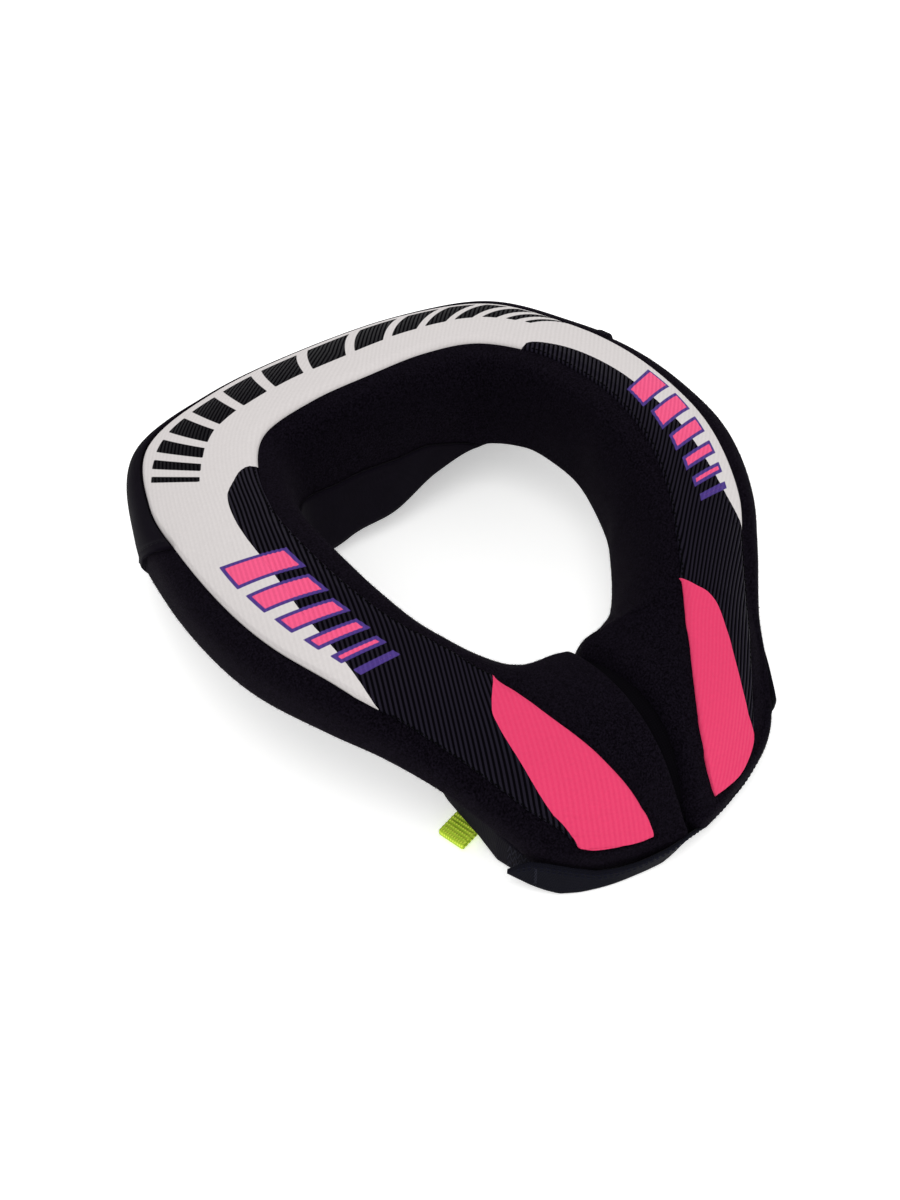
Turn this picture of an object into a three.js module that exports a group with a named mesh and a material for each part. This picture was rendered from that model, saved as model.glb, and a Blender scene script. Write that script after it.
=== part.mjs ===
// A motocross neck roll: a padded foam collar that rests on the shoulders, split at the front.
// Units are millimetres, +Z is up, the front split faces -Y, +X is the right of the picture.
// The collar lies as it was put down: front lobes and rear on the floor, sides arched up.
import * as THREE from 'three';

// Driving dimensions
const COVER_THICKNESS = 1.2;
const BAND_THICKNESS = 1.3;
const LOOP_BAND_THICKNESS = 1.4;
const STRAP_THICKNESS = 1.8;
const WEBBING_THICKNESS = 1.2;
const WEBBING_WIDTH = 12.5;
const CLEARANCE = 0.35;
const COVER_CLEARANCE = 0.5;
const TAB_LENGTH = 17;
const TAB_FOLD_RADIUS = 1.7;
const TAB_ROOT = { x: -60.5, y: -109.5, z: 4 };
const TAB_TURN_DEG = 197.5;
const SPLIT_HALF_GAP = 0.6;
const SPLIT_BLEND = 10;
const LOBE_EDGE_RADIUS = 7;
const REAR_LIFT = CLEARANCE + BAND_THICKNESS;
const COLLAR_SHIFT_Y = 21.8;

// One row for each section of the half collar, from the rear centre (row 0) to the split (row 13).
// ridge: inner edge of the top cover. rim: outer edge of the top cover. foot: bottom of the neck wall.
// crown: rise of the cover over its chord. bulge: reach of the outer roll past the rim.
// drop: height of the outer roll. tuck: how far the roll's lower edge is drawn in.
// belly: sag of the underside. fullness: how soon the neck wall swells below the ridge, 1 is straight.
const SECTION_COLUMNS = ['ridgeX', 'ridgeY', 'ridgeZ', 'rimX', 'rimY', 'rimZ', 'footX', 'footY', 'footZ',
  'crown', 'bulge', 'drop', 'tuck', 'belly', 'fullness'];
const SECTION_ROWS = [
  [0.0, 66.0, 83.0, 0.0, 124.5, 54.0, 0.0, 48.0, 17.0, 3.5, 2.5, 54.0, 2.0, 5.0, 3.4],
  [29.4, 66.0, 82.0, 50.0, 119.5, 55.0, 24.0, 48.5, 26.0, 3.5, 3.5, 54.0, 2.0, 5.0, 3.4],
  [56.0, 61.5, 79.0, 91.2, 103.5, 55.5, 46.0, 45.5, 33.0, 3.5, 7.5, 44.0, 1.0, 5.0, 3.4],
  [72.0, 39.0, 81.5, 110.0, 63.5, 61.0, 58.5, 27.0, 39.5, 3.2, 7.5, 33.0, 0.0, 5.0, 3.6],
  [79.0, 14.0, 83.5, 115.0, 25.0, 68.0, 63.5, 8.0, 40.5, 3.3, 9.5, 30.0, 0.0, 5.0, 3.8],
  [80.0, -12.0, 85.5, 114.5, -12.0, 70.5, 64.5, -12.0, 38.5, 3.7, 10.5, 27.0, 0.0, 5.0, 4.0],
  [76.0, -38.0, 84.0, 109.5, -41.0, 71.0, 58.5, -36.0, 34.5, 3.5, 10.5, 26.0, 0.0, 5.0, 2.8],
  [67.5, -61.5, 79.2, 98.0, -70.0, 69.0, 49.0, -53.0, 32.0, 3.2, 8.5, 24.0, 0.0, 5.0, 1.9],
  [57.0, -80.0, 75.0, 86.5, -91.0, 60.0, 37.5, -68.0, 31.0, 3.5, 6.0, 18.5, 0.0, 5.0, 1.5],
  [46.0, -97.5, 68.0, 74.0, -112.0, 46.5, 29.0, -76.0, 31.0, 4.0, 4.0, 14.5, 0.0, 6.0, 1.6],
  [33.0, -97.0, 61.0, 63.0, -132.0, 36.5, 20.5, -79.0, 31.0, 9.0, 5.5, 15.5, 0.5, 10.0, 1.35],
  [20.0, -92.5, 53.5, 50.0, -147.5, 23.5, 12.5, -81.0, 31.0, 18.0, 6.0, 12.0, 0.5, 14.0, 1.25],
  [10.0, -90.5, 49.5, 28.0, -160.0, 19.5, 6.0, -83.0, 31.0, 20.0, 3.0, 11.0, 0.5, 14.0, 1.4],
  [0.0, -91.0, 47.5, 0.0, -166.0, 17.0, 0.0, -84.0, 31.0, 20.0, 3.5, 10.0, 0.5, 14.0, 1.4],
];
const SPLIT_ROW = SECTION_ROWS.length - 1;
const RING_ROWS = 2 * SPLIT_ROW;

// Where the colours of the top cover meet: row along the half collar, share of the way from ridge to rim.
const WHITE_EDGE = [[2.87, 0], [3.15, 0.24], [3.43, 0.29], [4.06, 0.345], [4.9, 0.385], [5.5, 0.45],
  [6.0, 0.53], [6.5, 0.645], [7.0, 0.76], [7.5, 0.88], [7.7, 0.955], [7.85, 1]];
const PINK_OUTER_EDGE = [[9.0, 0], [9.16, 0.16], [9.35, 0.31], [9.6, 0.44], [9.95, 0.55], [10.4, 0.66],
  [10.7, 0.76], [11.0, 0.87], [11.13, 0.94], [11.24, 1]];
const PINK_INNER_EDGE = [[9.0, 0], [9.8, 0.16], [10.68, 0.305], [11.2, 0.4], [11.48, 0.47], [11.75, 0.55],
  [11.95, 0.64], [12.12, 0.72], [12.25, 0.8], [12.35, 0.88], [12.41, 0.95], [12.44, 1]];

// The closure strap, from its right end round the front to its free end on the left.
// row: section of the collar, past the split it counts up the left side.
// out: the inner face's reach past the rim, at the top and bottom edge. z: heights of those edges.
// lag: how many rows the bottom edge trails the top edge.
const STRAP_COLUMNS = ['row', 'outTop', 'topZ', 'outBottom', 'bottomZ', 'lag'];
const STRAP_ROWS = [
  [10.0, 7.0, 17.5, 3.5, 5.0, 0],
  [10.6, 5.0, 14.5, 1.5, 2.5, 0],
  [11.2, 3.5, 10.6, -1.0, 0.6, 0],
  [12.0, 1.6, 8.8, -4.5, 0.5, 0],
  [12.7, 1.6, 7.3, -4.5, 0.4, 0],
  [13.05, 3.2, 9.0, -2.0, 0.3, 0],
  [13.4, 4.9, 13.5, 1.5, 0.3, 0],
  [14.0, 4.8, 17.0, 4.5, 0.3, 0],
  [14.6, 5.8, 18.0, 7.8, 0.3, 0],
  [15.0, 7.0, 18.0, 8.8, 0.3, 0],
  [15.95, 9.6, 14.5, 8.6, 0.3, 0.3],
];

// The loop band that the strap fastens on, hung from the underside of the left lobe.
const LOOP_BAND_COLUMNS = ['x', 'y', 'topZ', 'bottomZ'];
const LOOP_BAND_ROWS = [
  [-50.0, -152.0, 10.0, 1.0],
  [-56.0, -147.0, 13.5, 1.0],
  [-61.0, -140.0, 17.0, 1.0],
  [-64.5, -131.0, 21.0, 1.5],
  [-66.0, -121.0, 24.0, 6.3],
  [-66.5, -111.0, 26.0, 6.4],
  [-67.0, -100.0, 29.5, 7.0],
  [-67.0, -88.0, 32.5, 11.0],
];

// The section's closed outline runs foot, ridge, rim, lower rim and back, one unit for each stretch.
const WALL_STEPS = 6;
const TOP_STEPS = 9;
const ROLL_STEPS = 7;
const UNDER_STEPS = 5;
const COVER_STEPS = 6;
const LOOP_BAND_STEPS = 10;
const TAB_FOLD_STEPS = 6;
const STATIONS_PER_ROW = 3;
const CLOSEST_STATIONS = 0.034;
const ROLL_FULLNESS = 2.8;
const UNDERSIDE_RISE = 1.7;
// Seams between the colours, as a share of the cover's width and in rows along the collar.
const SEAM_SHARE = 0.012;
const SEAM_ROWS = 0.03;
// Small steps along and round the pad, to find which way its surface faces.
const ALONG_STEP = 0.02;
const AROUND_STEP = 0.03;
const LAST_FULL_STATION = 12.34;
const SPLIT_STATIONS = [12.5, 12.65, 12.8, 12.9, 12.97, 13];
const REAR_BAND_END = 3.12;
const REAR_BAND_TOP = 2.08;
const REAR_BAND_LEAST_CLIMB = 0.04;
const INNER_BAND_TOP_Z = 36;
const REAR_SAG = 14;
const REAR_SAG_ROW = -1.3;
const REAR_SAG_SPREAD = 1.1;

const lerp = THREE.MathUtils.lerp;

function catmullRom(before, from, to, after, t) {
  const slope = to - before;
  const bend = 2 * before - 5 * from + 4 * to - after;
  const twist = 3 * (from - to) + after - before;
  return 0.5 * (2 * from + slope * t + bend * t * t + twist * t * t * t);
}

// A table row of the whole ring: rows past the split or the rear centre are the mirrored half.
function ringRow(index) {
  const wrapped = ((index % RING_ROWS) + RING_ROWS) % RING_ROWS;
  const mirrored = wrapped > SPLIT_ROW;
  const values = SECTION_ROWS[mirrored ? RING_ROWS - wrapped : wrapped];
  return values.map((value, i) => (mirrored && SECTION_COLUMNS[i].endsWith('X') ? -value : value));
}

// The lining over the neck wall sags lower on one side of the rear, as the collar was put down.
function rearSag(station) {
  const signed = station > SPLIT_ROW ? station - RING_ROWS : station;
  return REAR_SAG * Math.exp(-(((signed - REAR_SAG_ROW) / REAR_SAG_SPREAD) ** 2));
}

function sectionAt(station) {
  const from = Math.floor(station);
  const rows = [-1, 0, 1, 2].map((offset) => ringRow(from + offset));
  const named = {};
  SECTION_COLUMNS.forEach((name, i) => {
    named[name] = catmullRom(rows[0][i], rows[1][i], rows[2][i], rows[3][i], station - from);
  });
  named.footZ -= rearSag(station);
  named.out = new THREE.Vector2(named.rimX - named.ridgeX, named.rimY - named.ridgeY).normalize();
  return named;
}

function floorLevel(station) {
  const fromRear = Math.min(Math.abs(station), Math.abs(RING_ROWS - station));
  return fromRear < REAR_BAND_END + 1 ? REAR_LIFT : 0;
}

function wallPoint(s, height) {
  const lean = (1 - height ** s.fullness) ** (1 / s.fullness);
  return new THREE.Vector3(
    lerp(s.ridgeX, s.footX, lean),
    lerp(s.ridgeY, s.footY, lean),
    lerp(s.footZ, s.ridgeZ, height),
  );
}

function topPoint(s, share) {
  const width = Math.hypot(s.rimX - s.ridgeX, s.rimY - s.ridgeY);
  const slope = Math.atan2(s.ridgeZ - s.rimZ, width);
  const rise = s.crown * 4 * share * (1 - share);
  return new THREE.Vector3(
    lerp(s.ridgeX, s.rimX, share) + s.out.x * rise * Math.sin(slope),
    lerp(s.ridgeY, s.rimY, share) + s.out.y * rise * Math.sin(slope),
    lerp(s.ridgeZ, s.rimZ, share) + rise * Math.cos(slope),
  );
}

function rollPoint(s, turn) {
  const angle = Math.PI * turn;
  const level = Math.sign(Math.cos(angle)) * Math.abs(Math.cos(angle)) ** (2 / ROLL_FULLNESS);
  const sunk = (1 - level) / 2;
  const reach = s.bulge * Math.sin(angle) ** (2 / ROLL_FULLNESS) - s.tuck * sunk;
  return new THREE.Vector3(s.rimX + s.out.x * reach, s.rimY + s.out.y * reach, s.rimZ - s.drop * sunk);
}

function underPoint(s, share, floor) {
  const outerX = s.rimX - s.out.x * s.tuck;
  const outerY = s.rimY - s.out.y * s.tuck;
  const outerZ = s.rimZ - s.drop;
  const rise = (s.footZ - outerZ) * share ** UNDERSIDE_RISE - s.belly * Math.sin(Math.PI * share);
  return new THREE.Vector3(
    lerp(outerX, s.footX, share),
    lerp(outerY, s.footY, share),
    Math.max(outerZ + rise, floor),
  );
}

// A point of the pad: station along the ring, place round the section's outline from 0 to 4.
function outlinePoint(station, place) {
  const s = sectionAt(station);
  const floor = floorLevel(station);
  const around = ((place % 4) + 4) % 4;
  const stretch = Math.floor(around);
  const share = around - stretch;
  const makers = [wallPoint, topPoint, rollPoint, underPoint];
  const point = makers[stretch](s, share, floor);
  point.z = Math.max(point.z, floor);
  return point;
}

function outlineNormal(station, place) {
  const along = outlinePoint(station + ALONG_STEP, place).sub(outlinePoint(station - ALONG_STEP, place));
  const around = outlinePoint(station, place + AROUND_STEP).sub(outlinePoint(station, place - AROUND_STEP));
  const s = sectionAt(station);
  const middle = new THREE.Vector3((s.footX + s.rimX) / 2, (s.footY + s.rimY) / 2, (s.footZ + s.rimZ) / 2);
  const normal = along.cross(around).normalize();
  return normal.dot(outlinePoint(station, place).sub(middle)) < 0 ? normal.negate() : normal;
}

// The lobes stay a small gap apart at the split, with rounded edges above the floor.
function padPoint(station, place) {
  const point = outlinePoint(station, place);
  const fromSplit = Math.abs(point.x);
  const nearFront = Math.abs(station - SPLIT_ROW) < 2;
  if (!nearFront || fromSplit > SPLIT_BLEND) {
    return point;
  }
  const reach = Math.max(0, LOBE_EDGE_RADIUS - fromSplit);
  const inset = LOBE_EDGE_RADIUS - Math.sqrt(LOBE_EDGE_RADIUS ** 2 - reach ** 2);
  const rounded = place < 3 ? 1 : 0;
  const fade = Math.min(1, point.z / LOBE_EDGE_RADIUS);
  point.addScaledVector(outlineNormal(station, place), -inset * rounded * fade);
  const side = station < SPLIT_ROW ? 1 : -1;
  point.x = side * (fromSplit + SPLIT_HALF_GAP * (1 - fromSplit / SPLIT_BLEND));
  return point;
}

// A point held off the pad, for what lies on it.
function laidPoint(station, place, distance) {
  return padPoint(station, place).addScaledVector(outlineNormal(station, place), distance);
}

// Closes a run of loops with equal point counts into one solid. capIndex lists each end's triangles.
function loftGeometry(loops, capTriangles) {
  const count = loops[0].length;
  const positions = loops.flat().flatMap((point) => [point.x, point.y, point.z]);
  const index = [];
  for (let row = 0; row + 1 < loops.length; row += 1) {
    for (let i = 0; i < count; i += 1) {
      const a = row * count + i;
      const b = row * count + ((i + 1) % count);
      index.push(a, b, a + count, b, b + count, a + count);
    }
  }
  const last = (loops.length - 1) * count;
  for (const [a, b, c] of capTriangles) {
    index.push(a, c, b, last + a, last + b, last + c);
  }
  const geometry = new THREE.BufferGeometry();
  geometry.setAttribute('position', new THREE.Float32BufferAttribute(positions, 3));
  geometry.setIndex(index);
  return facingOut(geometry);
}

function facingOut(geometry) {
  const position = geometry.getAttribute('position');
  const index = geometry.getIndex();
  const corners = [new THREE.Vector3(), new THREE.Vector3(), new THREE.Vector3()];
  let volume = 0;
  for (let i = 0; i < index.count; i += 3) {
    corners.forEach((corner, k) => corner.fromBufferAttribute(position, index.getX(i + k)));
    volume += corners[0].dot(corners[1].clone().cross(corners[2]));
  }
  if (volume < 0) {
    for (let i = 0; i < index.count; i += 3) {
      const swap = index.getX(i + 1);
      index.setX(i + 1, index.getX(i + 2));
      index.setX(i + 2, swap);
    }
  }
  return geometry;
}

// The two faces of a thin layer make one loop, closed at each end by a strip across its thickness.
function layerLoop(inner, outer) {
  return [...inner, ...outer.reverse()];
}

function layerCap(points) {
  const triangles = [];
  for (let i = 0; i + 1 < points; i += 1) {
    const a = 2 * points - 1 - i;
    triangles.push([i, i + 1, a], [i + 1, a - 1, a]);
  }
  return triangles;
}

function material(colour, roughness) {
  return new THREE.MeshStandardMaterial({ color: colour, roughness, metalness: 0 });
}

function namedMesh(name, geometry, finish) {
  const mesh = new THREE.Mesh(geometry, finish);
  mesh.name = name;
  return mesh;
}

function tableValue(table, at) {
  const next = table.findIndex(([key]) => key > at);
  if (next === 0) {
    return table[0][1];
  }
  if (next < 0) {
    return table[table.length - 1][1];
  }
  const [fromKey, fromValue] = table[next - 1];
  const [toKey, toValue] = table[next];
  return lerp(fromValue, toValue, (at - fromKey) / (toKey - fromKey));
}

function spread(from, to, steps) {
  return Array.from({ length: steps + 1 }, (unused, i) => lerp(from, to, i / steps));
}

// Stations on the shared grid between two ends, so that neighbouring layers bend at the same places.
function stationsBetween(from, to, ...corners) {
  const wanted = corners.flat();
  for (let k = Math.ceil(from * STATIONS_PER_ROW); k < to * STATIONS_PER_ROW; k += 1) {
    wanted.push(k / STATIONS_PER_ROW);
  }
  const stations = [from];
  for (const station of wanted.sort((a, b) => a - b)) {
    if (station - stations[stations.length - 1] > CLOSEST_STATIONS && to - station > CLOSEST_STATIONS) {
      stations.push(station);
    }
  }
  return [...stations, to];
}

function tableKeys(table) {
  return table.map(([key]) => key);
}

// The foam collar with its bonded fleece, one C-shaped pad from lobe to lobe.
function collarPad() {
  const half = [...stationsBetween(0, LAST_FULL_STATION), ...SPLIT_STATIONS];
  const leftHalf = half.slice(1).map((station) => RING_ROWS - station);
  const stations = [...leftHalf.reverse().map((station) => station - RING_ROWS), ...half];
  const places = [
    ...spread(0, 1, WALL_STEPS).slice(0, -1),
    ...spread(1, 2, TOP_STEPS).slice(0, -1),
    ...spread(2, 3, ROLL_STEPS).slice(0, -1),
    ...spread(3, 4, UNDER_STEPS).slice(0, -1),
  ];
  const ringStation = (station) => (station < 0 ? station + RING_ROWS : station);
  const loops = stations.map((station) => places.map((place) => padPoint(ringStation(station), place)));
  const endFace = loops[0].map((point) => new THREE.Vector2(point.y, point.z));
  return loftGeometry(loops, THREE.ShapeUtils.triangulateShape(endFace, []));
}

// A panel of the top cover between two edges, each given as a share of the way from ridge to rim.
function coverPanel(stations, innerShare, outerShare, steps) {
  const loops = stations.map((station) => {
    const places = spread(1 + innerShare(station), 1 + outerShare(station), steps);
    const ring = station < 0 ? station + RING_ROWS : station;
    const under = places.map((place) => laidPoint(ring, place, COVER_CLEARANCE));
    const upper = places.map((place) => laidPoint(ring, place, COVER_CLEARANCE + COVER_THICKNESS));
    return layerLoop(under, upper);
  });
  return loftGeometry(loops, layerCap(steps + 1));
}


function rearPanel() {
  const end = WHITE_EDGE[WHITE_EDGE.length - 1][0] - 2 * SEAM_ROWS;
  const half = stationsBetween(0, end, tableKeys(WHITE_EDGE));
  const stations = [...half.slice(1).reverse().map((station) => -station), ...half];
  const inner = (station) => SEAM_SHARE + tableValue(WHITE_EDGE, Math.abs(station) + SEAM_ROWS);
  const clamped = (station) => Math.min(inner(station), 1 - 3 * SEAM_SHARE);
  return coverPanel(stations, clamped, () => 1 - SEAM_SHARE, COVER_STEPS);
}

function sidePanel() {
  const start = WHITE_EDGE[0][0] + 4 * SEAM_ROWS;
  const end = PINK_OUTER_EDGE[PINK_OUTER_EDGE.length - 1][0] - 2 * SEAM_ROWS;
  const inner = (station) => SEAM_SHARE + tableValue(PINK_OUTER_EDGE, station + SEAM_ROWS);
  const outer = (station) => tableValue(WHITE_EDGE, station - SEAM_ROWS) - SEAM_SHARE;
  const clamped = (station) => Math.min(inner(station), 1 - 3 * SEAM_SHARE);
  const stations = stationsBetween(start, end, tableKeys(WHITE_EDGE), tableKeys(PINK_OUTER_EDGE));
  return coverPanel(stations, clamped, outer, COVER_STEPS);
}

function frontPanel() {
  const start = PINK_INNER_EDGE[0][0] + 4 * SEAM_ROWS;
  const end = PINK_INNER_EDGE[PINK_INNER_EDGE.length - 1][0] - SEAM_ROWS;
  const inner = (station) => SEAM_SHARE + tableValue(PINK_INNER_EDGE, station);
  const outer = (station) => tableValue(PINK_OUTER_EDGE, station - SEAM_ROWS) - SEAM_SHARE;
  const clamped = (station) => Math.min(inner(station), outer(station) - 2 * SEAM_SHARE);
  const stations = stationsBetween(start, end, tableKeys(PINK_INNER_EDGE), tableKeys(PINK_OUTER_EDGE));
  return coverPanel(stations, clamped, outer, COVER_STEPS);
}

// The woven band round the rear: down the outer wall, under the pad and a little way up the neck wall.
function rearBand() {
  const half = stationsBetween(0, REAR_BAND_END);
  const stations = [...half.slice(1).reverse().map((station) => -station), ...half];
  const outerPlaces = [REAR_BAND_TOP, ...spread(2, 3, ROLL_STEPS).slice(1, -1)];
  const underPlaces = spread(3, 4, UNDER_STEPS).slice(0, -1);
  const loops = stations.map((station) => {
    const ring = station < 0 ? station + RING_ROWS : station;
    const s = sectionAt(ring);
    const climb = Math.max(REAR_BAND_LEAST_CLIMB, (INNER_BAND_TOP_Z - s.footZ) / (s.ridgeZ - s.footZ));
    const places = [...outerPlaces, ...underPlaces, ...spread(4, 4 + climb, 2)];
    const inner = places.map((place) => laidPoint(ring, place, CLEARANCE));
    const outer = places.map((place) => laidPoint(ring, place, CLEARANCE + BAND_THICKNESS));
    inner.forEach((point) => point.setZ(Math.max(point.z, BAND_THICKNESS)));
    outer.forEach((point) => point.setZ(Math.max(point.z, 0)));
    return layerLoop(inner, outer);
  });
  return loftGeometry(loops, layerCap(loops[0].length / 2));
}

// A flat ribbon that stands on edge: each station has a top and a bottom corner and a way out.
function ribbon(stations, thickness) {
  const loops = stations.map(({ top, bottom, out }) => {
    const across = new THREE.Vector3(out.x, out.y, 0).multiplyScalar(thickness);
    const shifted = (point) => point.clone().add(across);
    return layerLoop([bottom, top], [shifted(bottom), shifted(top)]);
  });
  return loftGeometry(loops, layerCap(2));
}

function column(rows, names, key, name) {
  const table = rows.map((row) => [row[names.indexOf(key)], row[names.indexOf(name)]]);
  return (at) => tableValue(table, at);
}

function closureStrap() {
  const value = (name) => column(STRAP_ROWS, STRAP_COLUMNS, 'row', name);
  const beside = (station, reach, z) => {
    const s = sectionAt(station);
    return new THREE.Vector3(s.rimX + s.out.x * reach, s.rimY + s.out.y * reach, z);
  };
  const ends = tableKeys(STRAP_ROWS);
  const stations = stationsBetween(ends[0], ends[ends.length - 1], ends);
  return ribbon(stations.map((station) => ({
    top: beside(station, value('outTop')(station), value('topZ')(station)),
    bottom: beside(station - value('lag')(station), value('outBottom')(station), value('bottomZ')(station)),
    out: sectionAt(station).out,
  })), STRAP_THICKNESS);
}

function loopBand() {
  const value = (name) => column(LOOP_BAND_ROWS, LOOP_BAND_COLUMNS, 'y', name);
  const frontY = LOOP_BAND_ROWS[0][1];
  const rearY = LOOP_BAND_ROWS[LOOP_BAND_ROWS.length - 1][1];
  const out = new THREE.Vector2(-1, 0);
  return ribbon(spread(frontY, rearY, LOOP_BAND_STEPS).map((y) => ({
    top: new THREE.Vector3(value('x')(y), y, value('topZ')(y)),
    bottom: new THREE.Vector3(value('x')(y), y, value('bottomZ')(y)),
    out,
  })), LOOP_BAND_THICKNESS);
}

// The pull tab: webbing folded into a flat loop, its fold pointing out from under the loop band.

function pullTab() {
  const inside = TAB_FOLD_RADIUS - WEBBING_THICKNESS;
  const outline = new THREE.Shape();
  outline.moveTo(0, -TAB_FOLD_RADIUS);
  outline.lineTo(TAB_LENGTH - TAB_FOLD_RADIUS, -TAB_FOLD_RADIUS);
  outline.absarc(TAB_LENGTH - TAB_FOLD_RADIUS, 0, TAB_FOLD_RADIUS, -Math.PI / 2, Math.PI / 2, false);
  outline.lineTo(0, TAB_FOLD_RADIUS);
  outline.lineTo(0, inside);
  outline.lineTo(TAB_LENGTH - TAB_FOLD_RADIUS, inside);
  outline.absarc(TAB_LENGTH - TAB_FOLD_RADIUS, 0, inside, Math.PI / 2, -Math.PI / 2, true);
  outline.lineTo(0, -inside);
  const geometry = new THREE.ExtrudeGeometry(outline, {
    depth: WEBBING_WIDTH,
    bevelEnabled: false,
    curveSegments: TAB_FOLD_STEPS,
  });
  geometry.translate(0, 0, -WEBBING_WIDTH / 2);
  geometry.rotateX(Math.PI / 2);
  geometry.rotateZ(THREE.MathUtils.degToRad(TAB_TURN_DEG));
  geometry.translate(TAB_ROOT.x, TAB_ROOT.y, TAB_ROOT.z);
  return geometry;
}

function mirroredX(geometry) {
  const mirrored = geometry.clone();
  mirrored.applyMatrix4(new THREE.Matrix4().makeScale(-1, 1, 1));
  return facingOut(mirrored);
}

const fleece = material('#17151a', 0.95);
const whiteRib = material('#d6d1d0', 0.7);
const blackRib = material('#121216', 0.6);
const pinkRib = material('#ea4a75', 0.65);
const wovenBand = material('#15151a', 0.7);
const loopCloth = material('#2a2a33', 0.8);
const navyWebbing = material('#1c1d2b', 0.75);
const limeWebbing = material('#93ba2c', 0.6);

const rightSide = sidePanel();
const rightFront = frontPanel();
const collar = new THREE.Group();
collar.position.y = COLLAR_SHIFT_Y;
collar.add(namedMesh('collar_pad', collarPad(), fleece));
collar.add(namedMesh('rear_panel', rearPanel(), whiteRib));
collar.add(namedMesh('side_panel_right', rightSide, blackRib));
collar.add(namedMesh('side_panel_left', mirroredX(rightSide), blackRib.clone()));
collar.add(namedMesh('front_panel_right', rightFront, pinkRib));
collar.add(namedMesh('front_panel_left', mirroredX(rightFront), pinkRib.clone()));
collar.add(namedMesh('rear_band', rearBand(), wovenBand));
collar.add(namedMesh('loop_band', loopBand(), loopCloth));
collar.add(namedMesh('closure_strap', closureStrap(), navyWebbing));
collar.add(namedMesh('pull_tab', pullTab(), limeWebbing));

const neckRoll = new THREE.Group();
neckRoll.add(collar);

export default neckRoll;
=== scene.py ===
# %% [markdown]
# # A padded neck roll, dressed in cloth
# The object is a soft collar that a rider wears under the helmet: a foam ring in fleece, open at the front,
# with a printed rib cloth sewn over its top. The solids give the measured shape. This script lays the
# fabrics over that shape: the fleece with its nap, the ribs of the cover, the hems, the webbing and the
# stitches.

# %% Load the measured solids
import math

import bpy
import numpy as np
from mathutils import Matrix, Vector


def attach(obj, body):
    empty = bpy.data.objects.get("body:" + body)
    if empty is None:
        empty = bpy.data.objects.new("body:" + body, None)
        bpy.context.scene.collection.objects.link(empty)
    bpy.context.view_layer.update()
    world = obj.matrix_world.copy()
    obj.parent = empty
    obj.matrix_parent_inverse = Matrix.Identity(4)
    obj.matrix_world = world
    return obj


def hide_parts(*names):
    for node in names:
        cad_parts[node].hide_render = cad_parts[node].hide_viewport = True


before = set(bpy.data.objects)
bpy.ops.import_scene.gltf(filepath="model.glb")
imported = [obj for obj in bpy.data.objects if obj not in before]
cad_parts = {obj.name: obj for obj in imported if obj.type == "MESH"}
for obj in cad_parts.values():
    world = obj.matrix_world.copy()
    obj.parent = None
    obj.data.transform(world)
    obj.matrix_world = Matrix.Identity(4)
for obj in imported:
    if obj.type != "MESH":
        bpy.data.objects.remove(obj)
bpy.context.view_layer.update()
print("solids", sorted(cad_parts))

# %% [markdown]
# ## The collar's own coordinates
# Every cloth on the collar lies on one surface, so the script needs that surface as a function and not as a
# mesh. A station counts rows along the ring, from 0 at the rear centre to 13 at the split, and to -13 on
# the other side. A place runs round the section: 0 to 1 up the neck wall, 1 to 2 over the top from the
# ridge to the rim, 2 to 3 down the outer roll, and 3 to 4 back along the underside. The table repeats the
# solids' values, in mm.

# %% The section table
SHIFT = np.array([0.0, 21.8, 0.0])
COLUMNS = "ridgeX ridgeY ridgeZ rimX rimY rimZ footX footY footZ crown bulge drop tuck belly fullness".split()
ROWS = np.array([
    [0, 66, 83, 0, 124.5, 54, 0, 48, 17, 3.5, 2.5, 54, 2, 5, 3.4],
    [29.4, 66, 82, 50, 119.5, 55, 24, 48.5, 26, 3.5, 3.5, 54, 2, 5, 3.4],
    [56, 61.5, 79, 91.2, 103.5, 55.5, 46, 45.5, 33, 3.5, 7.5, 44, 1, 5, 3.4],
    [72, 39, 81.5, 110, 63.5, 61, 58.5, 27, 39.5, 3.2, 7.5, 33, 0, 5, 3.6],
    [79, 14, 83.5, 115, 25, 68, 63.5, 8, 40.5, 3.3, 9.5, 30, 0, 5, 3.8],
    [80, -12, 85.5, 114.5, -12, 70.5, 64.5, -12, 38.5, 3.7, 10.5, 27, 0, 5, 4.0],
    [76, -38, 84, 109.5, -41, 71, 58.5, -36, 34.5, 3.5, 10.5, 26, 0, 5, 2.8],
    [67.5, -61.5, 79.2, 98, -70, 69, 49, -53, 32, 3.2, 8.5, 24, 0, 5, 1.9],
    [57, -80, 75, 86.5, -91, 60, 37.5, -68, 31, 3.5, 6, 18.5, 0, 5, 1.5],
    [46, -97.5, 68, 74, -112, 46.5, 29, -76, 31, 4, 4, 14.5, 0, 6, 1.6],
    [33, -97, 61, 63, -132, 36.5, 20.5, -79, 31, 9, 5.5, 15.5, 0.5, 10, 1.35],
    [20, -92.5, 53.5, 50, -147.5, 23.5, 12.5, -81, 31, 18, 6, 12, 0.5, 14, 1.25],
    [10, -90.5, 49.5, 28, -160, 19.5, 6, -83, 31, 20, 3, 11, 0.5, 14, 1.4],
    [0, -91, 47.5, 0, -166, 17, 0, -84, 31, 20, 3.5, 10, 0.5, 14, 1.4],
])
SPLIT = len(ROWS) - 1
MIRROR = np.array([-1.0 if name.endswith("X") else 1.0 for name in COLUMNS])
RING = np.vstack([ROWS, ROWS[-2:0:-1] * MIRROR])
print("ring of", len(RING), "sections")

# %% The surface as a function
# In mm, apart from rows. The rear stands on its band, and its left half sags lowest at SAG_ROW.
REAR_LIFT, ON_BAND_ROWS = 1.65, 4.12
SAG, SAG_ROW = 23, -1.75
ROLL_POWER = 2 / 2.8
LEFT_LIP, RIGHT_ROLL = 3.0, 9.0
LEFT_GAP, SPLIT_REACH = 0.6, 15


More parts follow.
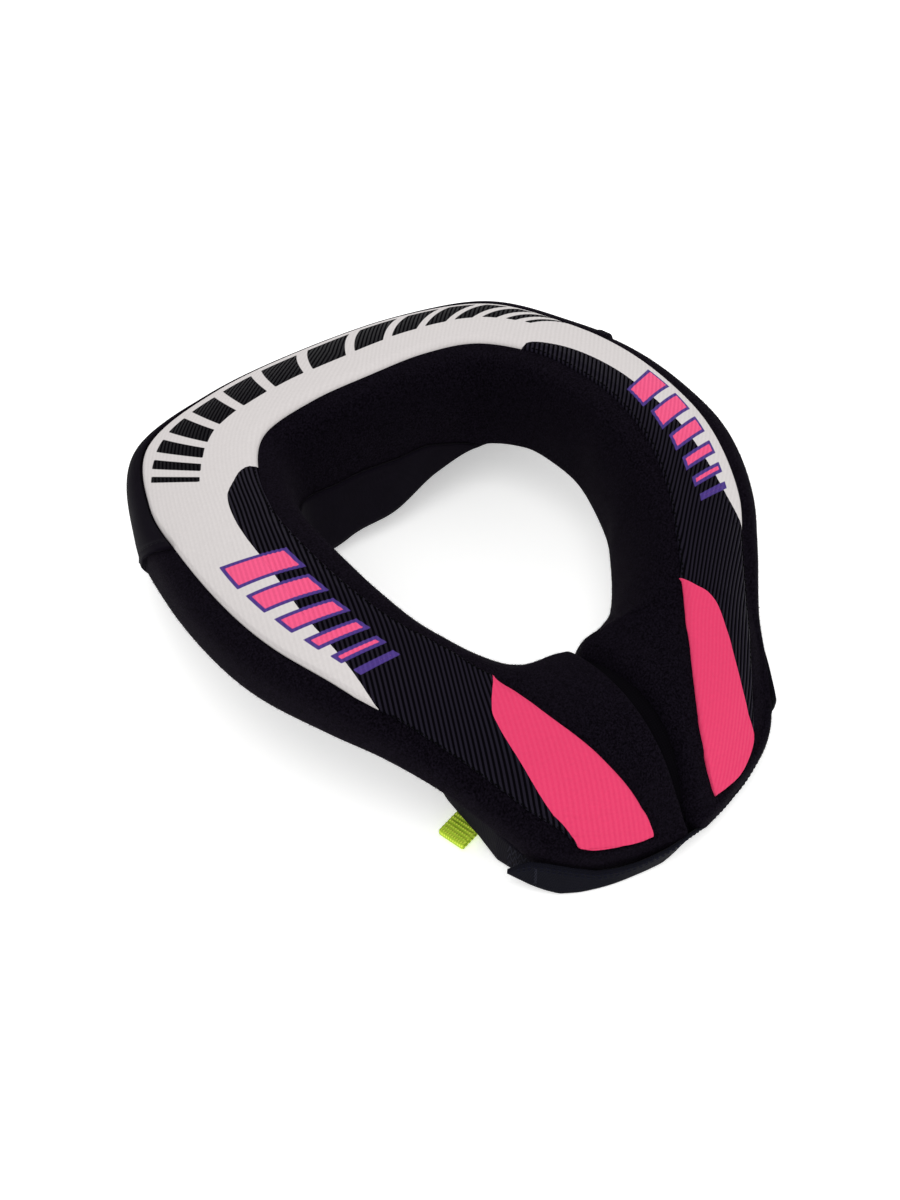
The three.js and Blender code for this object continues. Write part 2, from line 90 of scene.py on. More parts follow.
def soft_step(value, start, end):
    """0 before the start, 1 after the end, and a smooth change between."""
    t = np.clip((value - start) / (end - start), 0, 1)
    return t * t * (3 - 2 * t)


def hump(value, middle, spread):
    """A smooth hill of height 1 round the middle."""
    return np.exp(-(((value - middle) / spread) ** 2))


def lengths(vectors):
    """Each vector's length."""
    return np.linalg.norm(vectors, axis=-1)


def section(station):
    """The section's named values at each station, along a smooth curve through the table's rows."""
    base = np.floor(station).astype(int)
    t = (station - base)[..., None]
    a, b, c, d = (RING[(base + k) % len(RING)] for k in (-1, 0, 1, 2))
    values = 0.5 * (2 * b + (c - a) * t + (2 * a - 5 * b + 4 * c - d) * t**2 + (3 * (b - c) + d - a) * t**3)
    named = {name: values[..., i] for i, name in enumerate(COLUMNS)}
    # The foot sags at the rear left, the right roll thins near row 10, and the left lobe's roll hangs lower.
    sag_spread = np.where(station > SAG_ROW, 1.235, 1.6)
    named["footZ"] = named["footZ"] - SAG * hump(station, SAG_ROW, sag_spread)
    named["bulge"] = named["bulge"] - 1.6 * hump(station, 9.8, 0.7)
    behind_tip = 1 - soft_step(-station, 12.1, 12.7)
    named["drop"] = named["drop"] + 6 * soft_step(-station, 10, 10.8) * behind_tip
    out = np.stack([named["rimX"] - named["ridgeX"], named["rimY"] - named["ridgeY"]], -1)
    named["width"] = lengths(out)
    named["outX"], named["outY"] = np.moveaxis(out / named["width"][..., None], -1, 0)
    return named


def mixed(a, b, share):
    """A share of the way from a to b."""
    return a + (b - a) * share


def creased(station, place):
    """Points of the pad's surface, in mm, with the ridge and the rim as plain corners of the section."""
    s = section(station)
    around = place % 4
    leg = np.floor(around)
    share = around - leg
    lean = (1 - share ** s["fullness"]) ** (1 / s["fullness"])
    wall = [mixed(s["ridgeX"], s["footX"], lean), mixed(s["ridgeY"], s["footY"], lean),
            mixed(s["footZ"], s["ridgeZ"], share)]
    slope = np.arctan2(s["ridgeZ"] - s["rimZ"], s["width"])
    rise = s["crown"] * 4 * share * (1 - share)
    top = [mixed(s["ridgeX"], s["rimX"], share) + s["outX"] * rise * np.sin(slope),
           mixed(s["ridgeY"], s["rimY"], share) + s["outY"] * rise * np.sin(slope),
           mixed(s["ridgeZ"], s["rimZ"], share) + rise * np.cos(slope)]
    cosine, sine = np.cos(np.pi * share), np.clip(np.sin(np.pi * share), 0, None)
    sunk = (1 - np.sign(cosine) * np.abs(cosine) ** ROLL_POWER) / 2
    reach = s["bulge"] * sine ** ROLL_POWER - s["tuck"] * sunk
    roll = [s["rimX"] + s["outX"] * reach, s["rimY"] + s["outY"] * reach, s["rimZ"] - s["drop"] * sunk]
    base = s["rimZ"] - s["drop"]
    under = [mixed(s["rimX"] - s["outX"] * s["tuck"], s["footX"], share),
             mixed(s["rimY"] - s["outY"] * s["tuck"], s["footY"], share),
             base + (s["footZ"] - base) * share**1.7 - s["belly"] * np.sin(np.pi * share)]
    legs = np.stack([np.stack(leg_points, -1) for leg_points in (wall, top, roll, under)])
    points = np.take_along_axis(legs, leg.astype(int)[None, ..., None], 0)[0]
    points[..., 2] = np.maximum(points[..., 2], np.where(np.abs(station) < ON_BAND_ROWS, REAR_LIFT, 0))
    return points


def outline(station, place):
    """The same surface with its ridge and rim rounded, most of all on the full front lobes."""
    station, place = np.broadcast_arrays(np.asarray(station, float), np.asarray(place, float))
    full = 0.03 + 0.15 * soft_step(np.abs(station), 9.4, 11.2)
    spread = full * (hump(place, 2, 0.3) + 0.8 * hump(place, 1, 0.25))
    weights = ((-0.8, 0.3), (0, 0.4), (0.8, 0.3))
    return sum(weight * creased(station, place + spread * step) for step, weight in weights)


def outward(station, place):
    """Unit normals of that surface."""
    along = outline(station + 0.02, place) - outline(station - 0.02, place)
    around = outline(station, place + 0.03) - outline(station, place - 0.03)
    normal = np.cross(along, around)
    return normal / (lengths(normal)[..., None] + 1e-9)


def split_gap(place):
    """How far the right lobe keeps off the split, in mm: widest on the crown, narrow at ridge and rim."""
    over_top = np.clip((place % 4 - 0.98) / 0.99, 0, 1)
    return 0.7 + 5.6 * np.sin(np.pi * over_top) ** 0.8


def laid(station, place, distance):
    """Points held off the pad by a distance, with the two front lobes parted by a narrow split.
    The left lobe has a crisp lip, and the right one rolls down into the split beside it."""
    station, place = np.broadcast_arrays(np.asarray(station, float), np.asarray(place, float))
    points, normals = outline(station, place), outward(station, place)
    radius = np.where(station < 0, LEFT_LIP, RIGHT_ROLL)
    from_split = np.abs(points[..., 0])
    near = (np.abs(station) > SPLIT - 2) & (from_split < SPLIT_REACH)
    reach = np.clip(radius - from_split, 0, radius)
    above_floor = np.clip(points[..., 2] / 7, 0, 1)
    inset = (radius - np.sqrt(radius**2 - reach**2)) * (place % 4 < 3) * above_floor * near
    points = points - normals * inset[..., None]
    half_gap = np.where(station < 0, LEFT_GAP, split_gap(place))
    parted = np.sign(station) * (from_split + half_gap * (1 - from_split / SPLIT_REACH))
    points[..., 0] = np.where(near, parted, points[..., 0])
    return points + normals * np.asarray(distance, float)[..., None]


print("ridge at the rear centre", np.round(outline(0.0, 1.0) + SHIFT, 1))

# %% [markdown]
# ## From points to meshes
# Most pieces here are rows of points with faces between them. One helper makes such a loft, closed round
# each row or open, and puts it in the frame's metres. A second one keeps numbers beside the mesh's points:
# a float attribute that a material or a node tree reads later.

# %% Loft helper
def placed(name, data):
    """A new object in the scene that holds the given data."""
    made = bpy.data.objects.new(name, data)
    bpy.context.scene.collection.objects.link(made)
    return made


def loft(name, rows, closed=False, caps=()):
    """A mesh object from rows of points in mm. Closed rows join end to start. Caps lists the rows to fill."""
    rows = np.asarray(rows, float)
    count, across = rows.shape[:2]
    index = np.arange(count * across).reshape(count, across)
    last = across if closed else across - 1
    here, there = index[:, :last], np.roll(index, -1, 1)[:, :last]
    faces = np.stack([here[:-1], there[:-1], there[1:], here[1:]], -1).reshape(-1, 4).tolist()
    for row in caps:
        ring = index[row].tolist()
        faces.append(ring[::-1] if row == 0 else ring)
    mesh = bpy.data.meshes.new(name)
    mesh.from_pydata(((rows.reshape(-1, 3) + SHIFT) / 1000).tolist(), [], faces)
    mesh.validate()
    mesh.update()
    mesh.shade_smooth()
    return placed(name, mesh)


def set_numbers(piece, name, values):
    """Stores one number for each vertex of the piece."""
    numbers = piece.data.attributes.new(name, "FLOAT", "POINT")
    numbers.data.foreach_set("value", np.asarray(values, np.float32).ravel())


# %% [markdown]
# ## Camera, light and floor
# The collar was seen from its front left and well above, and the camera stands at the same angle and
# distance. A camera of the same angle and distance makes the comparison fair. Large soft lamps on a pale
# floor keep black fabric readable, since only sheen shows its form.

# %% Camera at the photograph's angle
camera_data = bpy.data.cameras.new("camera")
camera_data.sensor_fit = "VERTICAL"
camera_data.sensor_height = 24
camera_data.lens = 34
camera = placed("camera", camera_data)
AZIMUTH, ELEVATION, DISTANCE = math.radians(-33.8), math.radians(47.3), 0.773
aim = Vector((0, 0.0218, -0.005))
level = math.cos(ELEVATION)
back = Vector((math.sin(AZIMUTH) * level, -math.cos(AZIMUTH) * level, math.sin(ELEVATION)))
camera.location = aim + back * DISTANCE
camera.rotation_mode = "QUATERNION"
camera.rotation_quaternion = (-back).to_track_quat("-Z", "Y")
bpy.context.scene.camera = camera
print("camera at", [round(v, 3) for v in camera.location])


# %% Colour and node helpers
def colour(code):
    """An sRGB hex code as linear RGBA."""
    channels = [int(code[i:i + 2], 16) / 255 for i in (1, 3, 5)]
    return tuple(c / 12.92 if c <= 0.04045 else ((c + 0.055) / 1.055) ** 2.4 for c in channels) + (1.0,)


def dimmed(code, share):
    """A colour with its light cut down to a share, for painted shade."""
    return tuple(share * c for c in colour(code)[:3]) + (1.0,)


def add(tree, kind, values=None, links=None, **settings):
    """Adds a node with its settings, socket values and links. A linked node gives its first output."""
    made = tree.nodes.new(kind)
    for name, value in settings.items():
        setattr(made, name, value)
    for socket, value in (values or {}).items():
        made.inputs[socket].default_value = value
    for socket, source in (links or {}).items():
        output = source.outputs[0] if isinstance(source, bpy.types.Node) else source
        tree.links.new(output, made.inputs[socket])
    return made


def finish_of(name, values):
    """A new material with its node tree and its Principled shader."""
    material = bpy.data.materials.new(name)
    material.use_nodes = True
    shader = material.node_tree.nodes["Principled BSDF"]
    for socket, value in values.items():
        shader.inputs[socket].default_value = value
    return material, material.node_tree, shader


def maths(tree, operation, *terms):
    """A maths node. Each term is a number, a node or a socket."""
    numbers = {i: term for i, term in enumerate(terms) if isinstance(term, float)}
    linked = {i: term for i, term in enumerate(terms) if i not in numbers}
    return add(tree, "ShaderNodeMath", numbers, linked, operation=operation)


def noise(tree, scale, detail, **values):
    """Noise in a piece's own space. The scale counts its features in a metre."""
    coords = add(tree, "ShaderNodeTexCoord")
    sizes = {"Scale": scale, "Detail": detail} | values
    return add(tree, "ShaderNodeTexNoise", sizes, {"Vector": coords.outputs["Object"]})


def blend(tree, factor, a, b):
    """A colour between two given ones."""
    between = add(tree, "ShaderNodeMix", {"A": a, "B": b}, {"Factor": factor}, data_type="RGBA")
    return between.outputs["Result"]


def surface(tree, shader, base, height, strength, distance):
    """Gives a shader its base colour, and a bump of some strength and distance in metres."""
    bump = add(tree, "ShaderNodeBump", {"Strength": strength, "Distance": distance}, {"Height": height})
    tree.links.new(base, shader.inputs["Base Color"])
    tree.links.new(bump.outputs["Normal"], shader.inputs["Normal"])


# %% Floor and lamps
floor_mesh = bpy.data.meshes.new("floor")
floor_mesh.from_pydata([(-3, -3, 0), (3, -3, 0), (3, 3, 0), (-3, 3, 0)], [], [(0, 1, 2, 3)])
floor = placed("floor", floor_mesh)
floor_look = {"Base Color": colour("#fcfcfb"), "Roughness": 0.8, "Specular IOR Level": 0.1}
floor_look |= {"Emission Color": colour("#ffffff"), "Emission Strength": 0.42}
floor_mesh.materials.append(finish_of("pale_studio_floor", floor_look)[0])

world = bpy.data.worlds.new("studio")
bpy.context.scene.world = world
world.use_nodes = True
sky = world.node_tree.nodes["Background"].inputs
sky["Color"].default_value = colour("#ffffff")
sky["Strength"].default_value = 0.63
bpy.context.scene.view_settings.view_transform = "Standard"
LAMPS = [("key", (-0.5, -0.5, 1.3), 1.0, 8), ("fill", (0.9, -0.7, 0.9), 0.9, 3),
         ("rear", (0.3, 1.1, 0.9), 0.9, 4)]
for name, place, size, power in LAMPS:
    lamp_data = bpy.data.lights.new(name, "AREA")
    lamp_data.energy, lamp_data.size = power, size
    lamp = placed(name, lamp_data)
    lamp.location = place
    lamp.rotation_mode = "QUATERNION"
    lamp.rotation_quaternion = (Vector((0, 0, 0.04)) - Vector(place)).to_track_quat("-Z", "Y")
print("floor and three soft lamps")

# %% [markdown]
# ## Growing detail with node trees
# Ribs, stitches and fibres repeat or follow a surface, so Geometry Nodes make them. Each tree ends in a
# plain mesh, because instances are lost when a model leaves Blender. This helper sets a tree's named inputs
# by their identifiers, reads the evaluated result once, and keeps it as a mesh of its own with no modifier.

# %% Node tree helpers
def new_tree(name, **inputs):
    """A geometry node tree with named inputs, and the outputs of its group input node."""
    tree = bpy.data.node_groups.new(name, "GeometryNodeTree")
    tree.interface.new_socket("Geometry", in_out="INPUT", socket_type="NodeSocketGeometry")
    for label, kind in inputs.items():
        tree.interface.new_socket(label, in_out="INPUT", socket_type="NodeSocket" + kind)
    tree.interface.new_socket("Geometry", in_out="OUTPUT", socket_type="NodeSocketGeometry")
    return tree, add(tree, "NodeGroupInput").outputs


def end_tree(tree, geometry, material):
    """Closes a tree: real geometry, smooth, in the given material."""
    whole = add(tree, "GeometryNodeRealizeInstances", None, {"Geometry": geometry})
    smooth = add(tree, "GeometryNodeSetShadeSmooth", None, {"Geometry": whole})
    dressed = add(tree, "GeometryNodeSetMaterial", None, {"Geometry": smooth, "Material": material})
    add(tree, "NodeGroupOutput", None, {"Geometry": dressed})
    return tree


def grown(name, base, tree, keep_base=False, **inputs):
    """Runs a node tree on a base object and returns the result as a plain mesh object of its own."""
    modifier = base.modifiers.new("grow", "NODES")
    modifier.node_group = tree
    for item in tree.interface.items_tree:
        if item.in_out == "INPUT" and item.name in inputs:
            modifier[item.identifier] = inputs[item.name]
    graph = bpy.context.evaluated_depsgraph_get()
    mesh = bpy.data.meshes.new_from_object(base.evaluated_get(graph), depsgraph=graph)
    base.modifiers.remove(modifier)
    if not keep_base:
        bpy.data.objects.remove(base)
    mesh.name = name
    print(name, len(mesh.polygons), "faces")
    return placed(name, mesh)


# %% [markdown]
# ## Where the cover is sewn
# The cover is one cloth in three colours. Its edges are short tables of rows along the collar and shares of
# the way from the ridge to the rim, read off each side, since hand sewing leaves the two sides a little
# different. A smooth curve through each table keeps the sewn lines fair.

# %% Edge tables
EDGES = {
    "white": ([[2.87, 0], [3, .1], [3.2, .17], [3.47, .265], [3.7, .302], [4, .328], [4.4, .346],
               [4.9, .365], [5.45, .425], [6, .52], [6.56, .637], [7.14, .794], [7.73, .97], [7.85, 1]],
              [[2.75, 0], [2.95, .07], [3.2, .125], [3.53, .185], [3.95, .235], [4.4, .265], [4.9, .287],
               [5.3, .327], [5.8, .41], [6.35, .51], [6.85, .62], [7.28, .725], [7.61, .85], [7.86, .95],
               [7.97, 1]]),
    "pink_outer": ([[9, 0], [9.26, .253], [9.39, .357], [9.6, .448], [9.96, .579], [10.33, .693],
                    [10.66, .796], [10.94, .88], [11.19, .969], [11.3, 1.06], [11.42, 1.3]],
                   [[9, 0], [9.16, .163], [9.28, .3], [9.57, .436], [10.2, .571], [10.67, .645], [11, .742],
                    [11.2, .873], [11.29, 1], [11.4, 1.3]]),
    "pink_inner": ([[9, 0], [9.62, .107], [10.15, .2], [10.71, .302], [11.37, .449], [11.75, .562],
                    [12.06, .688], [12.26, .79], [12.39, .891], [12.44, .97], [12.47, 1.3]],
                   [[9, 0], [9.9, .2], [10.8, .331], [11.52, .457], [11.97, .58], [12.21, .677],
                    [12.35, .767], [12.44, .873], [12.48, 1], [12.5, 1.3]]),
    "outer_seam": ([[7.3, 1], [7.72, .97], [8.07, .937], [8.7, .9], [9.1, .886], [9.5, .897], [10.2, .928],
                    [10.8, .95], [11.1, .99], [11.27, 1.07], [11.4, 1.15], [11.6, 1.2], [11.9, 1.19],
                    [12.2, 1.14], [12.5, 1.1]],
                   [[7.3, 1], [7.6, .98], [7.86, .945], [8.2, .905], [8.8, .885], [9.5, .852], [10.2, .842],
                    [10.8, .885], [11.15, .97], [11.37, 1.07], [11.6, 1.115], [11.9, 1.15], [12.2, 1.11],
                    [12.5, 1.06]]),
}


def smooth_curve(table, row):
    """A curve through a short table that never overshoots it."""
    x, y = np.array(table, float).T
    step, rise = np.diff(x), np.diff(y) / np.diff(x)
    both = rise[:-1] * rise[1:]
    inner = np.where(both > 0, 2 * both / np.where(both > 0, rise[:-1] + rise[1:], 1), 0)
    slope = np.concatenate([rise[:1], inner, rise[-1:]])
    at = np.clip(row, x[0], x[-1])
    i = np.clip(np.searchsorted(x, at) - 1, 0, len(step) - 1)
    t, h = (at - x[i]) / step[i], step[i]
    return (y[i] * (1 + 2 * t) * (1 - t) ** 2 + slope[i] * h * t * (1 - t) ** 2
            + y[i + 1] * t**2 * (3 - 2 * t) + slope[i + 1] * h * t**2 * (t - 1))


def edge(name, station):
    """The share at which a sewn or printed edge lies, on the side that the station is on."""
    left, right = EDGES[name]
    return np.where(station < 0, smooth_curve(left, np.abs(station)), smooth_curve(right, np.abs(station)))


def cloth_width(station):
    """The way over the top from ridge to rim, in mm. The crown makes it about 4 mm longer than straight."""
    return section(station)["width"] + 4


def into_cover(station, place):
    """How far, in mm, a place on the pad lies inside the cover's sewn outline. Outside it is negative."""
    around = place % 4
    past_inner = around - 1 - edge("pink_inner", station)
    before_seam = 1 + edge("outer_seam", station) - around
    return np.minimum(past_inner, before_seam) * cloth_width(station)


CLIMB = [[-4, .45], [-3.2, .5], [-2.5, .53], [-1.75, .52], [-1, .477], [-.2, .45], [.3, .405], [.7, .35],
         [1.3, .2], [1.9, .02], [2.5, -.2], [4, -.3]]
BAND_RIGHT = 3.54
ROW_MM, LEG_MM = 33, 60


def band_left(place):
    """The station of the rear band's left end, which slants back as it goes down."""
    down = np.clip(place - 2.03, 0, 1)
    return -3.87 + 0.25 * down + 1.1 * np.minimum(down, 0.65) ** 2


def into_band(station, place):
    """How far, in mm, a place lies inside the rear band, from the rim to its edge on the neck wall."""
    onward = np.where(place % 4 < 1, place % 4 + 4, place % 4)
    ends = np.minimum(station - band_left(onward), BAND_RIGHT - station) * ROW_MM
    return np.minimum(ends, np.minimum(onward - 2, 4 + smooth_curve(CLIMB, station) - onward) * LEG_MM)


row_11 = np.array(-11.0)
print("left pink panel at row 11: %.2f to %.2f" % (edge("pink_inner", row_11), edge("pink_outer", row_11)))

# %% [markdown]
# ## Fleece
# Brushed fleece is a knit whose face has been raised into short fibres. It hardly reflects, and its fibre
# tips catch light at grazing angles. A rough shader with sheen gives that edge light, and noise at two real
# sizes gives the tufts, about 0.8 mm, and the fibres, about 0.3 mm.

# %% Fleece material
fleece_look = {"Roughness": 0.95, "Sheen Weight": 0.025, "Sheen Roughness": 0.5, "Specular IOR Level": 0.03}
fleece_look |= {"Sheen Tint": colour("#94829f"), "Specular Tint": colour("#cabcd4")}
fleece, tree, shader = finish_of("brushed_fleece", fleece_look)
tufts = noise(tree, 1300.0, 3.0, Roughness=0.65)
pile = maths(tree, "MULTIPLY_ADD", noise(tree, 3200.0, 2.0), 0.6, tufts)
tone = add(tree, "ShaderNodeValToRGB", None, {"Fac": tufts})
for stop, position, code in zip(tone.color_ramp.elements, (0.38, 0.68), ("#030204", "#16121b")):
    stop.position = position
    stop.color = colour(code)
surface(tree, shader, tone.outputs["Color"], pile, strength=0.7, distance=0.0007)

# %% [markdown]
# ## The collar pad
# The pad is foam in a fleece sleeve. The loft follows the measured surface, and stands a nap's height proud
# of it where the fleece shows, down to nothing at each seam, so the sewn edges lie in a shallow groove. A
# cloth simulation then blows the sleeve up from a slightly slack start. The cover's area is pinned, as
# sewing holds it, so the fleece swells between the seams. The simulation runs on a coarse copy and its
# movement is capped.

# %% Nap and grid
NAP, SEAM_GROOVE = 1.2, 3.5
END_RINGS = (0.85, 0.6, 0.3, 0.05)
CLOTH_FRAMES = 20


def nap(station, place):
    """How far the fleece stands off the pad: its nap in the open, nothing at a seam, sunk under the cover."""
    inside = into_cover(station, place)
    to_seam = -np.maximum(inside, into_band(station, place))
    open_height = NAP * np.clip(to_seam / SEAM_GROOVE, 0, 1) ** 0.6
    return np.where(inside > 0, -0.3 * np.clip(inside / 2, 0, 1), open_height)


def pad_grid(per_row, legs):
    """Stations and places of a grid over the whole pad, closer together at the split."""
    near_split = [12.4, 12.5, 12.6, 12.7, 12.78, 12.85, 12.9, 12.94, 12.97, 13.0]
    half = np.concatenate([np.arange(0, 12.3, 1 / per_row), near_split])
    places = np.concatenate([np.linspace(leg, leg + 1, count + 1)[:-1] for leg, count in enumerate(legs)])
    return np.meshgrid(np.concatenate([-half[:0:-1], half]), places, indexing="ij")


def closed_ends(rows):
    """Adds shrinking rings at both ends of a row grid, for the two faces of the split."""
    for end in (0, -1):
        middle = rows[end].mean(0)
        rings = [middle + (rows[end] - middle) * share for share in END_RINGS]
        rows = np.concatenate([rings[::-1], rows]) if end == 0 else np.concatenate([rows, rings])
    return rows


# %% Cloth simulation on a coarse copy
def swollen(S, P, slack, most):
    """How far each grid point moves outwards when the sleeve is blown up, in mm."""
    free = np.maximum(into_cover(S, P), into_band(S, P)) < 0
    start = laid(S, P, nap(S, P) - slack * free)
    copy = loft("sleeve_trial", start[:, ::-1], closed=True, caps=(0, len(start) - 1))
    held = copy.vertex_groups.new(name="sewn")
    pinned = (into_cover(S, P) > -1) | (P > 2.95) | (np.abs(S) > 12.6) | (into_band(S, P) > 0)
    held.add(np.flatnonzero(pinned[:, ::-1].ravel()).tolist(), 1.0, "REPLACE")
    cloth = copy.modifiers.new("cloth", "CLOTH")
    cloth.settings.vertex_group_mass = "sewn"
    cloth.settings.use_pressure = True
    cloth.settings.uniform_pressure_force = 4
    cloth.settings.effector_weights.gravity = 0
    for step in range(1, CLOTH_FRAMES + 1):
        bpy.context.scene.frame_set(step)
    mesh = copy.evaluated_get(bpy.context.evaluated_depsgraph_get()).data
    after = np.empty(len(mesh.vertices) * 3)
    mesh.vertices.foreach_get("co", after)
    after = (after.reshape(start.shape) * 1000 - SHIFT)[:, ::-1]
    bpy.data.objects.remove(copy)
    bpy.context.scene.frame_set(1)
    moved = np.clip(np.sum((after - start) * outward(S, P), -1), 0, most)
    for axis in (0, 0, 1, 1):
        moved = 0.5 * moved + 0.25 * (np.roll(moved, 1, axis) + np.roll(moved, -1, axis))
    return (moved - slack) * free


def carried_over(values, S, P, to_S, to_P):
    """Values on a coarse grid, read at a finer grid's stations and places."""
    along = np.stack([np.interp(to_S[:, 0], S[:, 0], column) for column in values.T], -1)
    wrapped = np.concatenate([along, along[:, :1]], 1)
    return np.stack([np.interp(to_P[0], np.append(P[0], 4), row) for row in wrapped])


# Ten grid lines to a row, and the numbers of steps on the four parts of the section.
S, P = pad_grid(10, (24, 34, 18, 14))
coarse_S, coarse_P = pad_grid(5, (8, 12, 9, 8))
moved = swollen(coarse_S, coarse_P, slack=0.6, most=1.4)
swell = carried_over(moved, coarse_S, coarse_P, S, P)
swell = swell * np.clip(-into_band(S, P) / SEAM_GROOVE, 0, 1)
print("sleeve moved by %.2f to %.2f mm" % (swell.min(), swell.max()))

# %% Pad mesh
pad_rows = laid(S, P, nap(S, P) + swell)
pad_rows[..., 2] = np.maximum(pad_rows[..., 2], 0)
pad_rows = closed_ends(pad_rows)
pad = loft("fleece_collar", pad_rows[:, ::-1], closed=True, caps=(0, len(pad_rows) - 1))
pad.data.materials.append(fleece)
print("fleece collar", len(pad.data.polygons), "faces")

# %% [markdown]
# ## Raised fibres
# The brushed face carries loose fibre ends, which blur the fleece's outline a little. A node tree scatters
# short cones over the open fleece, leans each one at random, and keeps them off the seams and the
# underside.

# %% Fibre tree
fibre, tree, shader = finish_of("fleece_fibre", {"Roughness": 0.9, "Specular IOR Level": 0.03})
tone = blend(tree, noise(tree, 1500.0, 1.0), colour("#08060a"), colour("#302a36"))
tree.links.new(tone, shader.inputs["Base Color"])

FIBRES, given = new_tree("fleece_fibres", Density="Float", Length="Float", Seed="Int", Fibre="Material")
bare = add(FIBRES, "GeometryNodeInputNamedAttribute", {"Name": "bare"}, data_type="FLOAT")
thick = maths(FIBRES, "MULTIPLY", bare.outputs["Attribute"], given["Density"])
spread = add(FIBRES, "GeometryNodeDistributePointsOnFaces", None,
             {"Mesh": given["Geometry"], "Density": thick, "Seed": given["Seed"]})
lean = add(FIBRES, "FunctionNodeRandomValue", {0: (-0.9, -0.9, -0.9), 1: (0.9, 0.9, 0.9)},
           {"Seed": given["Seed"]}, data_type="FLOAT_VECTOR")
way = add(FIBRES, "ShaderNodeVectorMath", None, {0: spread.outputs["Normal"], 1: lean}, operation="ADD")
turned = add(FIBRES, "FunctionNodeAlignRotationToVector", None, {"Vector": way}, axis="Z")
cone = add(FIBRES, "GeometryNodeMeshCone",
           {"Vertices": 3, "Radius Top": 0.0, "Radius Bottom": 0.06, "Depth": 1.0})
grow = add(FIBRES, "FunctionNodeRandomValue", {2: 0.6, 3: 1.2}, {"Seed": given["Seed"]}, data_type="FLOAT")
size = maths(FIBRES, "MULTIPLY", grow.outputs[1], given["Length"])
hairs = add(FIBRES, "GeometryNodeInstanceOnPoints", None,
            {"Points": spread.outputs["Points"], "Instance": cone, "Rotation": turned, "Scale": size})
end_tree(FIBRES, hairs, given["Fibre"])

# %% Fibres on the open fleece
off_seams = np.clip(-np.maximum(into_cover(S, P), into_band(S, P)) / 4, 0, 1)
open_fleece = off_seams * (P < 3) * (np.abs(S) < 12.8)
no_fibres = np.zeros((len(END_RINGS), S.shape[1]))
set_numbers(pad, "bare", np.concatenate([no_fibres, open_fleece, no_fibres])[:, ::-1])
fibres = grown("fleece_fibres", pad, FIBRES, keep_base=True, Density=0.55e6, Length=0.0009, Seed=7,
               Fibre=fibre)

# %% [markdown]
# ## Rib cloth
# The cover is a knit with raised ribs about 2 mm apart, printed in white, black and pink. Before sewing,
# the ribs run straight over a flat cloth, cut as a C that is a little more open than the collar. So the
# script first flattens the collar's top into that cut, and counts the ribs across it. The ribs stand up
# enough to catch light one by one, so they are geometry: a node tree lifts the points of a fine grid along
# its normals.

# %% The flat cut
CUT_OPENS = math.radians(17.8)
line = np.linspace(-12.9, 12.9, 2600)
spine = outline(line, 1.5)
run_step = lengths(np.diff(spine, axis=0))
run_along = np.concatenate([[0], np.cumsum(run_step)])
run_along -= np.interp(0, line, run_along)
heading = np.unwrap(np.arctan2(np.gradient(spine[:, 1]), np.gradient(spine[:, 0])))
opened = CUT_OPENS * run_along / np.interp(7.5, line, run_along)
ahead = np.stack([np.cos(heading + opened), np.sin(heading + opened)], -1)
flat_spine = np.concatenate([[[0, 0]], np.cumsum(ahead[:-1] * run_step[:, None], 0)])
flat_spine -= flat_spine[len(line) // 2]


def on_flat_cut(station, share):
    """Where a point of the cover lay on the flat cloth, in mm."""
    point, middle = outline(station, 1 + share), outline(station, 1.5 + 0 * share)
    s = section(station)
    out = np.stack([s["outX"], s["outY"]], -1)
    gap = (point - middle)[..., :2]
    steeper = np.hypot(1, (s["ridgeZ"] - s["rimZ"]) / s["width"]) - 1
    gap = gap + out * np.sum(gap * out, -1, keepdims=True) * steeper[..., None]
    turn = np.interp(station, line, opened)
    cosine, sine = np.cos(turn), np.sin(turn)
    x, y = gap[..., 0], gap[..., 1]
    turned = np.stack([x * cosine - y * sine, x * sine + y * cosine], -1)
    return turned + np.stack([np.interp(station, line, flat_spine[:, i]) for i in (0, 1)], -1)


RIB_PITCH = 2.0
RIB_LEAN = math.radians(36.8)
# How far sewing pulls the cloth across its ribs, in mm, at some rows of the cover's inner and outer edges.
RIB_PULL_ROWS = [0, 2.4, 4, 6, 8, 9, 10, 11, 12.5]
RIB_PULL = {"left inner": [0, 11.5, 6, 1, 0, 0, 0, 0, 0],
            "left outer": [0, 1, -3.5, -4.5, -2, -0.5, 1, 2, 2],
            "right inner": [0, 10, 5.5, 1.5, -2, -5, -9, -15, -30],
            "right outer": [0, 12, 9.5, 6.5, 3, -0.5, -6, -13, -28]}


def ribs_across(station, share):
    """Distance across the ribs, in mm. Sewing pulls the cloth a little, and not alike on the two sides."""
    flat = on_flat_cut(station, share)
    across = flat[..., 0] * math.cos(RIB_LEAN) - flat[..., 1] * math.sin(RIB_LEAN)
    row = np.abs(station)
    pull = {name: smooth_curve(np.stack([RIB_PULL_ROWS, mm], -1), row) for name, mm in RIB_PULL.items()}
    left = mixed(pull["left inner"], pull["left outer"], share)
    right = mixed(pull["right inner"], pull["right outer"], share)
    # The knit is drawn out towards one side, so the spacing changes slowly over the cut.
    drawn_out = across * (0.921 + 0.00052 * across)
    return drawn_out + np.where(station < 0, left, right)


print("the cover is %.0f mm long on its middle line" % (run_along[-1] - run_along[0]))

# %% [markdown]
# ## The print
# The cloth carries a plain decoration: slanted bars across the rear and a group of outlined bars on each
# side. Each is a distance in mm from the nearest bar's edge, kept on the mesh's points. The material turns
# it into a crisp edge, so the print stays sharp on a coarser grid and runs on across the panels.

